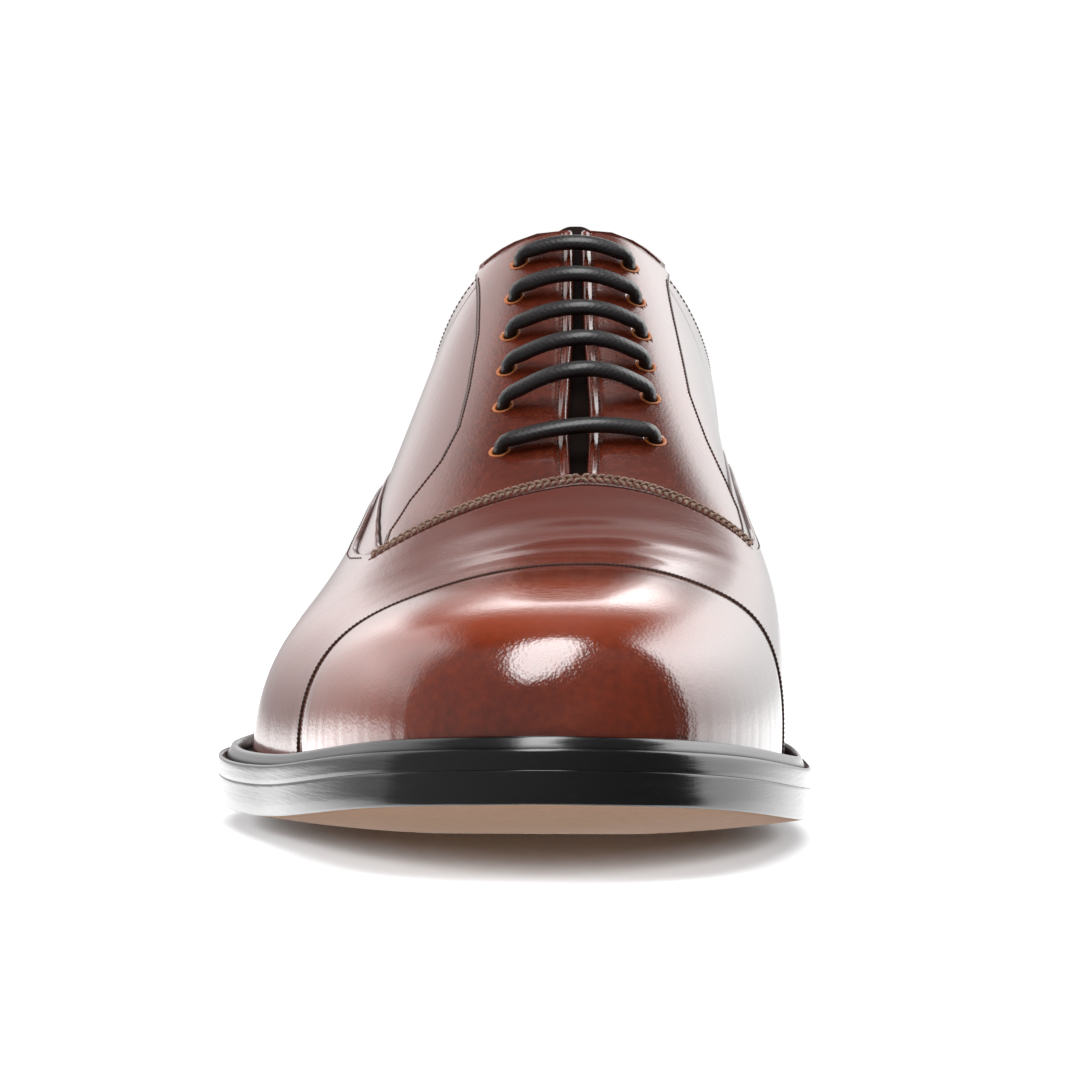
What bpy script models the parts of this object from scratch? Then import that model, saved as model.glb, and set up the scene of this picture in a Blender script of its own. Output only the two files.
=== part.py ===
"""Cap toe oxford, right shoe: outsole, welt, heel, insole, lasted upper, overlays, tongue and lace.

Sizes are millimetres, turned into metres as a mesh is made. A place on the shoe is (x, along, z): x grows
towards the inner side of the foot, along runs from the heel's back to the toe, z is height over the floor.
In the finished part the toe points to -Y, the inner side to +X, and the floor is z = 0.
"""

import bmesh
import bpy
import numpy as np

MM = 0.001

# Driving sizes
OUTSOLE_LENGTH = 304.0
LAST_TIP = 294.0
HEEL_CENTRE = 45.0
BALL_HALF_WIDTH = 54.0
HEEL_HEIGHT = 25.5
TOE_SPRING = 12.9
TOE_CURVE = 1.65
INSTEP_TOP = 108.0
THROAT = 182.5
CAP_SEAM = 236.5

# Layers
OUTSOLE_THICK = 5.4
WELT_THICK = 3.2
SEAT_GAP = 0.3
WALL_THICK = 2.0
VAMP_STEP = 1.5
FACING_THICK = 0.7
CAP_THICK = 1.0
TONGUE_THICK = 1.8
TONGUE_GAP = 0.5
TONGUE_FRONT = 188.0
TONGUE_BACK = 97.5
TONGUE_ROUND = 12.0
TONGUE_RAISE = 1.5
INSOLE_RISE = 2.2
TOP_PIECE_THICK = 6.0

# Underside: where it is flat on the floor, and how far its edges curl up
BALL_FLAT_BACK = 195.0
BALL_FLAT_FRONT = 215.0
HEEL_FLAT = 15.0
CROWN = 3.8
CROWN_FLAT = 18.0
CROWN_FLAT_TOE = 5.0
CROWN_BACK = 110.0
CROWN_RUN = 60.0

# Edge of the sole and the welt
EDGE_ROUND = 0.6
BEAD_START = 3.4
BEAD_HEIGHT = 2.4
GROOVE_DEPTH = 0.5
WELT_INNER = 2.6
INSOLE_INSET = 3.2

# Facing: how far it stays behind the vamp's throat, and clear of the vamp's edge as a share of the arch
FACING_SETBACK = 0.9
FACING_CLEAR = 0.008

# Heel block
HEEL_BREAST = 74.0
BREAST_HOLLOW = 5.0
HEEL_INSET = 0.6
HEEL_TAPER = 1.6

# Lace
EYELET_RADIUS = 2.1
LACE_HALF_WIDTH = 1.7
LACE_HALF_THICK = 1.0
LACE_END_RADIUS = 1.2

# Sections of the last. lateral, medial: foot from the centre line; ridge_x, ridge_z: top of the arch;
# out: how far the wall swells past the foot; up: height of that swell; shoulder: reach of the shoulder,
# shoulder_up: its height. The last four are shares of the section's own width and height.
SECTION_COLUMNS = (
    "along", "lateral", "medial", "ridge_x", "ridge_z", "out_lateral", "out_medial", "up_lateral",
    "up_medial", "shoulder_lateral", "shoulder_medial", "shoulder_up_lateral", "shoulder_up_medial",
)
SECTIONS = (
    (45.0, 31.5, 31.5, 0.0, 125.0, 5.5, 5.5, 0.26, 0.26, 0.95, 0.95, 0.92, 0.92),
    (60.0, 31.5, 31.0, 0.4, 125.5, 5.5, 6.6, 0.30, 0.30, 0.90, 0.95, 0.93, 0.93),
    (80.0, 32.9, 29.4, 1.2, 125.0, 4.6, 9.0, 0.34, 0.37, 0.82, 0.96, 0.95, 0.95),
    (96.0, 34.7, 28.0, 2.0, 122.0, 3.8, 11.0, 0.37, 0.42, 0.71, 0.92, 0.96, 0.96),
    (108.0, 36.8, 27.4, 2.8, 117.5, 3.6, 12.5, 0.39, 0.46, 0.64, 0.86, 0.96, 0.96),
    (130.0, 41.6, 28.4, 3.8, 101.5, 2.0, 12.4, 0.42, 0.52, 0.61, 0.90, 0.95, 0.97),
    (150.0, 46.4, 31.2, 4.6, 86.0, -1.2, 10.2, 0.45, 0.60, 0.60, 0.89, 0.94, 0.98),
    (171.0, 51.0, 35.4, 5.3, 71.0, -2.0, 7.4, 0.46, 0.69, 0.58, 0.87, 0.93, 0.97),
    (190.0, 53.9, 39.4, 6.0, 60.2, -1.4, 4.6, 0.48, 0.76, 0.57, 0.85, 0.92, 0.97),
    (208.0, 52.5, 41.6, 6.8, 53.2, 0.0, 2.8, 0.52, 0.79, 0.58, 0.83, 0.92, 0.97),
    (224.0, 47.4, 42.2, 7.2, 49.0, 0.9, 1.8, 0.56, 0.77, 0.59, 0.78, 0.92, 0.96),
    (240.0, 40.8, 41.2, 6.8, 46.3, 1.2, 1.7, 0.58, 0.72, 0.59, 0.73, 0.92, 0.95),
    (256.0, 34.6, 38.4, 6.0, 44.0, 1.4, 1.6, 0.60, 0.67, 0.63, 0.71, 0.93, 0.95),
    (270.0, 28.2, 34.2, 5.2, 41.6, 1.5, 1.5, 0.62, 0.64, 0.70, 0.72, 0.95, 0.96),
    (282.0, 20.4, 27.8, 4.6, 38.8, 1.4, 1.4, 0.62, 0.62, 0.70, 0.71, 0.95, 0.95),
    (290.0, 10.6, 18.8, 4.2, 33.4, 0.9, 0.9, 0.62, 0.62, 0.70, 0.70, 0.95, 0.95),
    (294.0, -4.0, 4.0, 4.0, 21.3, 0.0, 0.0, 0.62, 0.62, 0.70, 0.70, 0.95, 0.95),
)

# Back reach of the heel's foot, wall, shoulder and crown rings, behind the heel's centre
HEEL_REACH = np.array((41.5, 48.0, 34.0, 0.0))
HEEL_ROUNDNESS = 2.0 / 2.35

# Collar's edge: height over the floor along the shoe, and its rise round the heel
TOPLINE_COLUMNS = ("along", "height")
TOPLINE = (
    (45.0, 87.6), (52.0, 86.8), (60.0, 87.2), (70.0, 89.2), (80.0, 93.0), (90.0, 98.8), (98.0, 105.6),
    (102.0, 109.8), (105.0, 113.3), (107.0, 116.0), (108.5, 118.4), (112.0, 124.0),
)
TOPLINE_HEEL_RISE = 5.4
TOPLINE_MEDIAL_RISE = 2.0

# Half of the slit between the facings
GAP_COLUMNS = ("along", "half")
GAP = (
    (108.0, 0.8), (120.0, 0.9), (140.0, 1.1), (150.0, 1.6), (163.0, 2.1), (176.0, 1.5), (180.0, 1.0),
    (THROAT, 0.0),
)

# Seams as shares of the arch from foot (0) to ridge (0.5): the vamp's raised edge and the facing's edge
SEAM_COLUMNS = ("along", "vamp_lateral", "vamp_medial", "facing_lateral", "facing_medial")
CORNER_LATERAL = 0.220
CORNER_MEDIAL = 0.188
SEAMS = (
    (45.0, 0.100, 0.100, 0.285, 0.285),
    (80.0, 0.100, 0.100, 0.285, 0.285),
    (110.0, 0.110, 0.108, 0.287, 0.276),
    (130.0, 0.130, 0.128, 0.306, 0.266),
    (145.0, 0.145, 0.140, 0.306, 0.257),
    (155.0, 0.153, 0.146, 0.300, 0.230),
    (162.0, 0.160, 0.149, 0.280, 0.200),
    (168.0, 0.170, 0.153, 0.243, 0.185),
    (175.0, 0.190, 0.165, 0.226, 0.187),
    (THROAT, CORNER_LATERAL, CORNER_MEDIAL, 0.228, 0.196),
)
# Forward sweep of the vamp's throat and of the cap's edge away from the ridge
THROAT_SWEEP_LATERAL = 9.0
THROAT_SWEEP_MEDIAL = 15.0
THROAT_SPREAD = 30.0
CAP_SWEEP = 7.0
CAP_SPREAD = 16.0

# Eyelets, top pair first: place along the shoe and share of the arch on each side
EYELET_COLUMNS = ("along_lateral", "share_lateral", "along_medial", "share_medial")
EYELETS = (
    (115.8, 0.364, 117.6, 0.363),
    (125.8, 0.359, 127.7, 0.354),
    (136.2, 0.359, 137.6, 0.349),
    (146.4, 0.359, 147.0, 0.345),
    (157.0, 0.359, 156.4, 0.342),
    (170.6, 0.362, 169.0, 0.342),
)

# How far the welt reaches past the last, by place round the shoe: 0 toe, 1 start of the heel's round, 2 back
EXTENSION_COLUMNS = ("side", "lateral", "medial")
EXTENSION = (
    (0.0, 7.4, 7.4), (0.25, 7.6, 7.2), (0.5, 7.9, 6.6), (0.65, 7.8, 6.2), (0.8, 6.2, 5.2), (0.92, 5.0, 4.8),
    (1.0, 4.6, 4.6), (2.0, 4.4, 4.4),
)

# Columns of the upper's grid, from the toe's tip back
FRONT_SIDES = (
    0.0, 0.045, 0.09, 0.135, 0.18, 0.225, 0.27, 0.315, 0.36, 0.40, 0.44, 0.48, 0.515, 0.55, 0.585, 0.615,
    0.642,
)
BACK_ALONG = (
    179.5, 175.0, 168.0, 160.0, 150.0, 140.0, 130.0, 120.0, 112.0, 108.4, 107.2, 106.0, 104.0, 101.0, 97.0,
    90.0, 80.0, 68.0, 56.0,
)
HEEL_STEPS = 8
LOWER_ROWS = 5
MIDDLE_ROWS = 3
FACING_ROWS = 3
KNOTS = np.array((0, 0, 0, 0, 1, 2, 3, 4, 4, 4, 4), float)


def table(columns, rows):
    """A table's rows as one array per named column."""
    return dict(zip(columns, np.array(rows, float).T))


def smooth(t):
    """0 below 0, 1 above 1, an S curve between."""
    t = np.clip(t, 0.0, 1.0)
    return t * t * (3.0 - 2.0 * t)


class Curve:
    """Natural cubic spline through pairs of numbers."""

    def __init__(self, x, y):
        self.x = np.asarray(x, float)
        self.y = np.asarray(y, float)
        self.step = np.diff(self.x)
        count = len(self.x)
        system = np.eye(count)
        right = np.zeros(count)
        slope = np.diff(self.y) / self.step
        for i in range(1, count - 1):
            system[i, i - 1:i + 2] = self.step[i - 1], 2.0 * (self.step[i - 1] + self.step[i]), self.step[i]
            right[i] = 6.0 * (slope[i] - slope[i - 1])
        self.bend = np.linalg.solve(system, right)

    def __call__(self, t):
        t = np.asarray(t, float)
        i = np.clip(np.searchsorted(self.x, t) - 1, 0, len(self.step) - 1)
        h = self.step[i]
        a = (self.x[i + 1] - t) / h
        b = 1.0 - a
        cubic = (a ** 3 - a) * self.bend[i] + (b ** 3 - b) * self.bend[i + 1]
        return a * self.y[i] + b * self.y[i + 1] + cubic * h * h / 6.0


def side_at(along):
    """Place round the shoe of a distance along it: 0 at the toe's tip, 1 at the heel's centre."""
    return np.sqrt(np.clip((LAST_TIP - np.asarray(along, float)) / (LAST_TIP - HEEL_CENTRE), 0.0, None))


def along_at(side):
    """Distance along the shoe of a place round it, the inverse of side_at."""
    return LAST_TIP - (LAST_TIP - HEEL_CENTRE) * np.clip(side, 0.0, 1.0) ** 2


def underside(along):
    """Height of the sole's middle line: heel pitch, flat ball, toe spring."""
    toe = np.clip(along - BALL_FLAT_FRONT, 0.0, None) / (OUTSOLE_LENGTH - BALL_FLAT_FRONT)
    heel = smooth((BALL_FLAT_BACK - along) / (BALL_FLAT_BACK - HEEL_FLAT))
    return TOE_SPRING * toe ** TOE_CURVE + HEEL_HEIGHT * heel


def pitch(along):
    """Angle of the sole's middle line."""
    return np.arctan(underside(along + 0.5) - underside(along - 0.5))


SOLE_HEIGHT = OUTSOLE_THICK + SEAT_GAP + WELT_THICK
PROBE = np.linspace(-20.0, OUTSOLE_LENGTH + 20.0, 3401)
PROBE_ALONG = PROBE - SOLE_HEIGHT * np.sin(pitch(PROBE))
PROBE_HEIGHT = underside(PROBE) + SOLE_HEIGHT * np.cos(pitch(PROBE))

SECTION = table(SECTION_COLUMNS, SECTIONS[::-1])
SECTION_SIDE = side_at(SECTION["along"])
COLUMN = {name: Curve(SECTION_SIDE, values) for name, values in SECTION.items() if name != "ridge_z"}
RISE = SECTION["ridge_z"] - np.interp(SECTION["along"], PROBE_ALONG, PROBE_HEIGHT)
RISE[0] = SEAT_GAP
COLUMN["rise"] = Curve(SECTION_SIDE, RISE)


def crown(x, along):
    """How far the sole curls up at x: nothing near the middle, more with width, fading out under the arch."""
    side = side_at(along)
    middle = 0.5 * (COLUMN["medial"](side) - COLUMN["lateral"](side))
    toe = smooth((along - BALL_FLAT_FRONT) / (LAST_TIP - BALL_FLAT_FRONT))
    flat = CROWN_FLAT + (CROWN_FLAT_TOE - CROWN_FLAT) * toe
    reach = (np.abs(x - middle) - flat) / (BALL_HALF_WIDTH - flat)
    return CROWN * np.clip(reach, 0.0, None) ** 1.7 * smooth((along - CROWN_BACK) / CROWN_RUN)


def welt_top(x, along):
    """Height of the surface that the upper stands on."""
    return np.interp(along, PROBE_ALONG, PROBE_HEIGHT) + crown(x, along)


def weights(u):
    """Clamped cubic B-spline weights of the seven section points, u from 0 to 4."""
    u = np.clip(np.asarray(u, float), 0.0, 4.0 - 1e-9)
    level = [((KNOTS[i] <= u) & (u < KNOTS[i + 1])).astype(float) for i in range(10)]
    for degree in (1, 2, 3):
        above = []
        for i in range(10 - degree):
            value = np.zeros_like(u)
            left = KNOTS[i + degree] - KNOTS[i]
            right = KNOTS[i + degree + 1] - KNOTS[i + 1]
            if left > 0.0:
                value = value + (u - KNOTS[i]) / left * level[i]
            if right > 0.0:
                value = value + (KNOTS[i + degree + 1] - u) / right * level[i + 1]
            above.append(value)
        level = above
    return np.stack(level[:7], axis=-1)


def section_points(side):
    """Seven control points of the arch at a place: outer foot, wall, shoulder, ridge, then the inner side."""
    c = {name: curve(side) for name, curve in COLUMN.items()}
    along = along_at(side)
    foot_l = welt_top(-c["lateral"], along) + SEAT_GAP
    foot_m = welt_top(c["medial"], along) + SEAT_GAP
    ridge_z = np.interp(along, PROBE_ALONG, PROBE_HEIGHT) + c["rise"]
    rise_l = ridge_z - foot_l
    rise_m = ridge_z - foot_m
    ridge_x = c["ridge_x"]
    shoulder_l = ridge_x - (ridge_x + c["lateral"]) * c["shoulder_lateral"]
    shoulder_m = ridge_x + (c["medial"] - ridge_x) * c["shoulder_medial"]
    shoulder_lz = foot_l + rise_l * c["shoulder_up_lateral"]
    shoulder_mz = foot_m + rise_m * c["shoulder_up_medial"]
    top_x = 1.5 * (ridge_x - (shoulder_l + shoulder_m) / 6.0)
    top_z = 1.5 * (ridge_z - (shoulder_lz + shoulder_mz) / 6.0)
    x = (
        -c["lateral"], -c["lateral"] - c["out_lateral"], shoulder_l, top_x, shoulder_m,
        c["medial"] + c["out_medial"], c["medial"],
    )
    z = (
        foot_l, foot_l + rise_l * c["up_lateral"], shoulder_lz, top_z, shoulder_mz,
        foot_m + rise_m * c["up_medial"], foot_m,
    )
    return np.stack(np.broadcast_arrays(*x), -1), np.stack(np.broadcast_arrays(*z), -1)


HEEL_X, HEEL_Z = section_points(np.array(1.0))


def last(loop, share):
    """Point of the last. loop: 0 toe, 1 to 3 round the heel, 4 toe again; share: 0 foot, 0.5 ridge."""
    loop, share = np.broadcast_arrays(np.asarray(loop, float), np.asarray(share, float))
    medial = loop > 2.0
    side = np.where(medial, 4.0 - loop, loop)
    x, z = section_points(np.clip(side, 0.0, 1.0))
    w = weights(4.0 * np.where(medial, 1.0 - share, share))
    front = np.stack(((w * x).sum(-1), along_at(side), (w * z).sum(-1)), -1)
    turn = np.clip(side - 1.0, 0.0, 1.0) * np.pi / 2.0
    across = np.cos(turn) ** HEEL_ROUNDNESS
    back = np.sin(turn) ** HEEL_ROUNDNESS
    w = weights(4.0 * share)
    near = w[..., :3] - w[..., [6, 5, 4]]
    heel_x = (near * -HEEL_X[:3]).sum(-1) * across
    heel_along = HEEL_CENTRE - (near * HEEL_REACH[:3]).sum(-1) * back
    foot = welt_top(0.0, HEEL_CENTRE - HEEL_REACH[0] * back) + SEAT_GAP - HEEL_Z[0]
    heel_z = (w * HEEL_Z).sum(-1) + foot * (w[..., 0] + w[..., 1] + w[..., 5] + w[..., 6])
    heel = np.stack((np.where(medial, heel_x, -heel_x), heel_along, heel_z), -1)
    return np.where((side > 1.0)[..., None], heel, front)


def swept(loop, share):
    """A column's true place at a share of the arch: near the throat and the cap it follows their seams."""
    medial = loop > 2.0
    side = np.where(medial, 4.0 - loop, loop)
    along = along_at(side)
    corner = np.where(medial, CORNER_MEDIAL, CORNER_LATERAL)
    down = np.clip((0.5 - share) / (0.5 - corner), 0.0, 1.0) ** 1.2 * smooth(share / corner)
    reach = np.where(medial, THROAT_SWEEP_MEDIAL, THROAT_SWEEP_LATERAL)
    throat = reach * down * np.exp(-((along - THROAT) / THROAT_SPREAD) ** 2)
    arc = smooth((0.46 - share) / 0.28)
    cap = CAP_SWEEP * arc * np.exp(-((along - CAP_SEAM) / CAP_SPREAD) ** 2)
    moved = side_at(along + throat + cap)
    return np.where(side > 1.0, loop, np.where(medial, 4.0 - moved, moved))


def skin(loop, share, offset=0.0):
    """Point at a distance outside the last, square to it; feet stay on the welt, the tip stays a point."""
    loop, share, offset = np.broadcast_arrays(*(np.asarray(value, float) for value in (loop, share, offset)))
    step = 1e-4
    place = last(swept(loop, share), share)
    around = last(swept(loop + step, share), share) - last(swept(loop - step, share), share)
    up = last(swept(loop, share + step), share + step) - last(swept(loop, share - step), share - step)
    low = share < step
    up_low = last(swept(loop, share + step), share + step) - place
    up = np.where(low[..., None], up_low, up)
    normal = np.cross(around, up)
    normal = normal / np.maximum(np.linalg.norm(normal, axis=-1, keepdims=True), 1e-12)
    tip = (loop < 1e-3) | (loop > 4.0 - 1e-3)
    normal = np.where(tip[..., None], np.array((0.0, 1.0, 0.0)), normal)
    point = place + normal * offset[..., None]
    on_welt = welt_top(point[..., 0], point[..., 1]) + SEAT_GAP
    point[..., 2] = np.where(low | tip, on_welt, point[..., 2])
    point[..., 2] = np.maximum(point[..., 2], on_welt)
    return point


def share_where(loop, measure, wanted):
    """Share of the arch at which a rising measure reaches the wanted value, column by column."""
    shares = np.linspace(0.02, 0.5, 400)
    values = measure(last(swept(loop[:, None], shares[None, :]), shares[None, :]))
    return np.array([np.interp(w, v, shares) for w, v in zip(wanted, values)])


def edges(loop):
    """Shares of the vamp's edge, the facing's edge and the top edge in each column."""
    loop = np.asarray(loop, float)
    medial = loop > 2.0
    side = np.where(medial, 4.0 - loop, loop)
    along = along_at(side)
    seams = table(SEAM_COLUMNS, SEAMS)
    sides = []
    for name in ("vamp", "facing"):
        inner = np.interp(along, seams["along"], seams[name + "_medial"])
        outer = np.interp(along, seams["along"], seams[name + "_lateral"])
        sides.append(np.where(medial, inner, outer))
    collar = table(TOPLINE_COLUMNS, TOPLINE)
    height = Curve(collar["along"], collar["height"])(along)
    height = height + TOPLINE_HEEL_RISE * smooth(side - 1.0)
    inner_rise = TOPLINE_MEDIAL_RISE * np.exp(-((along - 60.0) / 30.0) ** 2) * (1.0 - smooth(side - 1.0))
    height = height + np.where(medial, inner_rise, 0.0)
    topline = share_where(loop, lambda p: p[..., 2], height)
    gap = table(GAP_COLUMNS, GAP)
    half = np.interp(along, gap["along"], gap["half"])
    ridge = last(loop, np.full_like(loop, 0.5))[:, None, 0]
    slit = share_where(loop, lambda p: -np.abs(p[..., 0] - ridge), -half)
    top = np.where(along > INSTEP_TOP + 4.0, slit, np.minimum(slit, topline))
    top = np.where(along < INSTEP_TOP - 12.0, topline, top)
    top = np.where(along >= THROAT - 1e-6, 0.5, top)
    return sides[0], np.minimum(sides[1], top), top


def row_shares(loop):
    """Rows of the upper's grid in each column: foot to vamp edge, to facing edge, to top edge."""
    vamp, facing, top = edges(loop)
    parts = (
        vamp[:, None] * np.linspace(0.0, 1.0, LOWER_ROWS + 1)[None, :-1],
        vamp[:, None] + (facing - vamp)[:, None] * np.linspace(0.0, 1.0, MIDDLE_ROWS + 1)[None, :-1],
        facing[:, None] + (top - facing)[:, None] * np.linspace(0.0, 1.0, FACING_ROWS + 1)[None, :],
    )
    return np.concatenate(parts, axis=1)


def both_sides(sides):
    """Columns on the outer side, and the same ones on the inner side."""
    sides = np.asarray(sides, float)
    return sides, 4.0 - sides


def outline(side, medial, out):
    """Plan point at a distance outside the last's foot."""
    loop = np.where(medial, 4.0 - side, side)
    step = 1e-4
    foot = last(loop, 0.0)
    ahead = last(np.clip(loop + step, 0.0, 4.0), 0.0) - last(np.clip(loop - step, 0.0, 4.0), 0.0)
    normal = np.stack((-ahead[..., 1], ahead[..., 0]), -1)
    normal = -normal / np.maximum(np.linalg.norm(normal, axis=-1, keepdims=True), 1e-12)
    end = (side < 1e-3)[..., None]
    normal = np.where(end, np.array((0.0, 1.0)), normal)
    tail = (side > 2.0 - 1e-3)[..., None]
    normal = np.where(tail, np.array((0.0, -1.0)), normal)
    return foot[..., :2] + normal * np.asarray(out, float)[..., None]


def extension(side, medial):
    """How far the welt's edge is outside the last's foot."""
    reach = table(EXTENSION_COLUMNS, EXTENSION)
    values = [Curve(reach["side"], reach[name])(side) for name in ("lateral", "medial")]
    return values[1] if medial else values[0]


def under_welt(plan, depth):
    """Point at a depth under the welt's top, square to the sole."""
    x, along = plan[..., 0], plan[..., 1]
    ground = np.interp(along, PROBE_ALONG, PROBE)
    angle = pitch(ground)
    lower_along = along + depth * np.sin(angle)
    return np.stack((x, lower_along, welt_top(x, along) - depth * np.cos(angle)), -1)


def sheet(sides, shares, inset, depth, hollow=0.0):
    """Grid across the sole from the outer edge to the inner one, at a depth under the welt's top."""
    left = outline(sides, False, extension(sides, False) - inset)
    right = outline(sides, True, extension(sides, True) - inset)
    plan = left[:, None, :] * (1.0 - shares)[None, :, None] + right[:, None, :] * shares[None, :, None]
    bow = hollow * (1.0 - (2.0 * shares - 1.0) ** 2)
    ahead = smooth((plan[..., 1] - HEEL_CENTRE) / (HEEL_BREAST - HEEL_CENTRE))
    plan[..., 1] = plan[..., 1] - bow[None, :] * ahead
    return under_welt(plan, depth)


def sheet_to_foot(sides, shares, inset, depth):
    """The same grid, measured from the last's foot."""
    left = outline(sides, False, np.full_like(sides, -inset))
    right = outline(sides, True, np.full_like(sides, -inset))
    plan = left[:, None, :] * (1.0 - shares)[None, :, None] + right[:, None, :] * shares[None, :, None]
    return under_welt(plan, depth)


def rim(grid):
    """Closed ring round a grid across the sole."""
    return np.concatenate((grid[:, 0], grid[::-1, -1]))


def open_rim(grid):
    """Ring round a grid whose first row is an edge of its own."""
    return np.concatenate((grid[:, 0], grid[-1, 1:-1], grid[::-1, -1], grid[0, -2::-1]))


def strip(*rings):
    """Grid through rings of the same length."""
    return np.stack(rings, axis=1)


SIDES_ALL = np.array((
    0.0, 0.05, 0.1, 0.15, 0.2, 0.26, 0.32, 0.38, 0.44, 0.5, 0.5345, 0.5636, 0.6, 0.6305, 0.67, 0.72, 0.77,
    0.82, 0.87, 0.92, 0.96, 1.0, 1.12, 1.24, 1.36, 1.48, 1.6, 1.72, 1.84, 1.92, 2.0,
))
EDGES = [outline(SIDES_ALL, medial, extension(SIDES_ALL, medial)) for medial in (False, True)]
OUTLINE = np.concatenate([under_welt(edge, SOLE_HEIGHT) for edge in EDGES])
ORIGIN_X = 0.5 * (OUTLINE[:, 0].min() + OUTLINE[:, 0].max())
ORIGIN_ALONG = 0.5 * (OUTLINE[:, 1].min() + OUTLINE[:, 1].max())


def to_part(points):
    """Shoe's own places, in millimetres, to the part's frame in metres."""
    points = np.asarray(points, float)
    return np.stack((points[..., 0] - ORIGIN_X, ORIGIN_ALONG - points[..., 1], points[..., 2]), -1) * MM


def material(name, colour, roughness):
    """A plain surface in one colour."""
    made = bpy.data.materials.new(name)
    made.use_nodes = True
    shader = made.node_tree.nodes["Principled BSDF"]
    shader.inputs["Base Color"].default_value = (*colour, 1.0)
    shader.inputs["Roughness"].default_value = roughness
    return made


def solid(name, patches, colour, roughness):
    """One closed body sewn from grids that share their borders."""
    points = []
    faces = []
    start = 0
    for grid in patches:
        rows, cols = grid.shape[:2]
        index = start + np.arange(rows * cols).reshape(rows, cols)
        quads = np.stack((index[:-1, :-1], index[1:, :-1], index[1:, 1:], index[:-1, 1:]), -1)
        faces.extend(quads.reshape(-1, 4).tolist())
        points.append(to_part(grid).reshape(-1, 3))
        start += rows * cols
    mesh = bpy.data.meshes.new(name)
    mesh.from_pydata(np.concatenate(points).tolist(), [], faces)
    bm = bmesh.new()
    bm.from_mesh(mesh)
    bmesh.ops.remove_doubles(bm, verts=bm.verts, dist=2e-6)
    bmesh.ops.dissolve_degenerate(bm, edges=bm.edges, dist=1e-6)
    bmesh.ops.triangulate(bm, faces=bm.faces)
    bmesh.ops.recalc_face_normals(bm, faces=bm.faces)
    if bm.calc_volume(signed=True) < 0.0:
        bmesh.ops.reverse_faces(bm, faces=bm.faces)
    bm.to_mesh(mesh)
    bm.free()
    mesh.materials.append(material(name, colour, roughness))
    made = bpy.data.objects.new(name, mesh)
    bpy.context.scene.collection.objects.link(made)
    return made


def make_outsole():
    """The sole plate: top, three-step edge and crowned underside."""
    shares = np.array((0.0, 0.09, 0.2, 0.335, 0.665, 0.8, 0.91, 1.0))
    top = WELT_THICK + SEAT_GAP
    levels = ((EDGE_ROUND * 0.4, 0.0), (0.0, 0.25), (0.0, 0.78), (EDGE_ROUND, 1.0))
    grids = [sheet(SIDES_ALL, shares, inset, top + OUTSOLE_THICK * share) for inset, share in levels]
    edge = strip(*(rim(grid) for grid in grids))
    return solid("outsole", (grids[0], grids[-1], edge), (0.55, 0.36, 0.24), 0.6)


def make_welt():
    """The strip that the upper stands on: upright edge, groove and raised bead round its outside."""
    rings = []
    for medial in (False, True):
        reach = extension(SIDES_ALL, medial)
        room = reach - BEAD_START
        show = smooth((0.93 - SIDES_ALL) / 0.15)
        ease = 1.0 - show
        bead = BEAD_HEIGHT * show
        profile = (
            (reach, WELT_THICK + 0.0 * reach),
            (reach, EDGE_ROUND + 0.0 * reach),
            (reach - 0.4 * EDGE_ROUND, 0.0 * reach),
            (BEAD_START + 0.72 * room, GROOVE_DEPTH * show),
            (BEAD_START + 0.55 * room, -0.35 * bead),
            (BEAD_START + 0.36 * room, -0.95 * bead),
            (BEAD_START + 0.18 * room, -0.85 * bead),
            (BEAD_START + 0.0 * room, 0.02 * ease),
            (0.0 * reach - WELT_INNER, 0.0 * reach),
            (0.0 * reach - WELT_INNER, WELT_THICK + 0.0 * reach),
            (reach, WELT_THICK + 0.0 * reach),
        )
        rings.append(strip(*(under_welt(outline(SIDES_ALL, medial, out), depth) for out, depth in profile)))
    return solid("welt", rings, (0.05, 0.04, 0.045), 0.4)


def make_insole():
    """Drops into the welt's ring and closes the upper underneath."""
    shares = np.array((0.0, 0.12, 0.3, 0.7, 0.88, 1.0))
    low = sheet_to_foot(SIDES_ALL, shares, INSOLE_INSET, WELT_THICK)
    high = sheet_to_foot(SIDES_ALL, shares, INSOLE_INSET, -INSOLE_RISE)
    return solid("insole", (low, high, strip(rim(low), rim(high))), (0.60, 0.45, 0.32), 0.7)


def make_heel():
    """Heel stack under the outsole, and the top piece that meets the floor."""
    breast = side_at(HEEL_BREAST)
    sides = np.concatenate(([breast], np.linspace(breast, 1.0, 4)[1:], np.linspace(1.1, 2.0, 10)))
    shares = np.linspace(0.0, 1.0, 7)
    depth = SOLE_HEIGHT + SEAT_GAP
    made = []
    split = TOP_PIECE_THICK / HEEL_HEIGHT
    high = sheet(sides, shares, HEEL_INSET, depth, BREAST_HOLLOW)
    base = sheet(sides, shares, HEEL_INSET + HEEL_TAPER, depth, BREAST_HOLLOW)
    low = high * split + base * (1.0 - split)
    for name, grids, colour in (
        ("heel_stack", (high, at_height(low, TOP_PIECE_THICK + SEAT_GAP)), (0.07, 0.05, 0.05)),
        ("heel_top_piece", (at_height(low, TOP_PIECE_THICK), at_height(base, 0.0)), (0.03, 0.03, 0.03)),
    ):
        edge = strip(open_rim(grids[0]), open_rim(grids[1]))
        made.append(solid(name, (grids[0], grids[1], edge), colour, 0.5))
    return made


def at_height(grid, height):
    """The same grid, laid flat at one height."""
    flat = grid.copy()
    flat[..., 2] = height
    return flat


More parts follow.
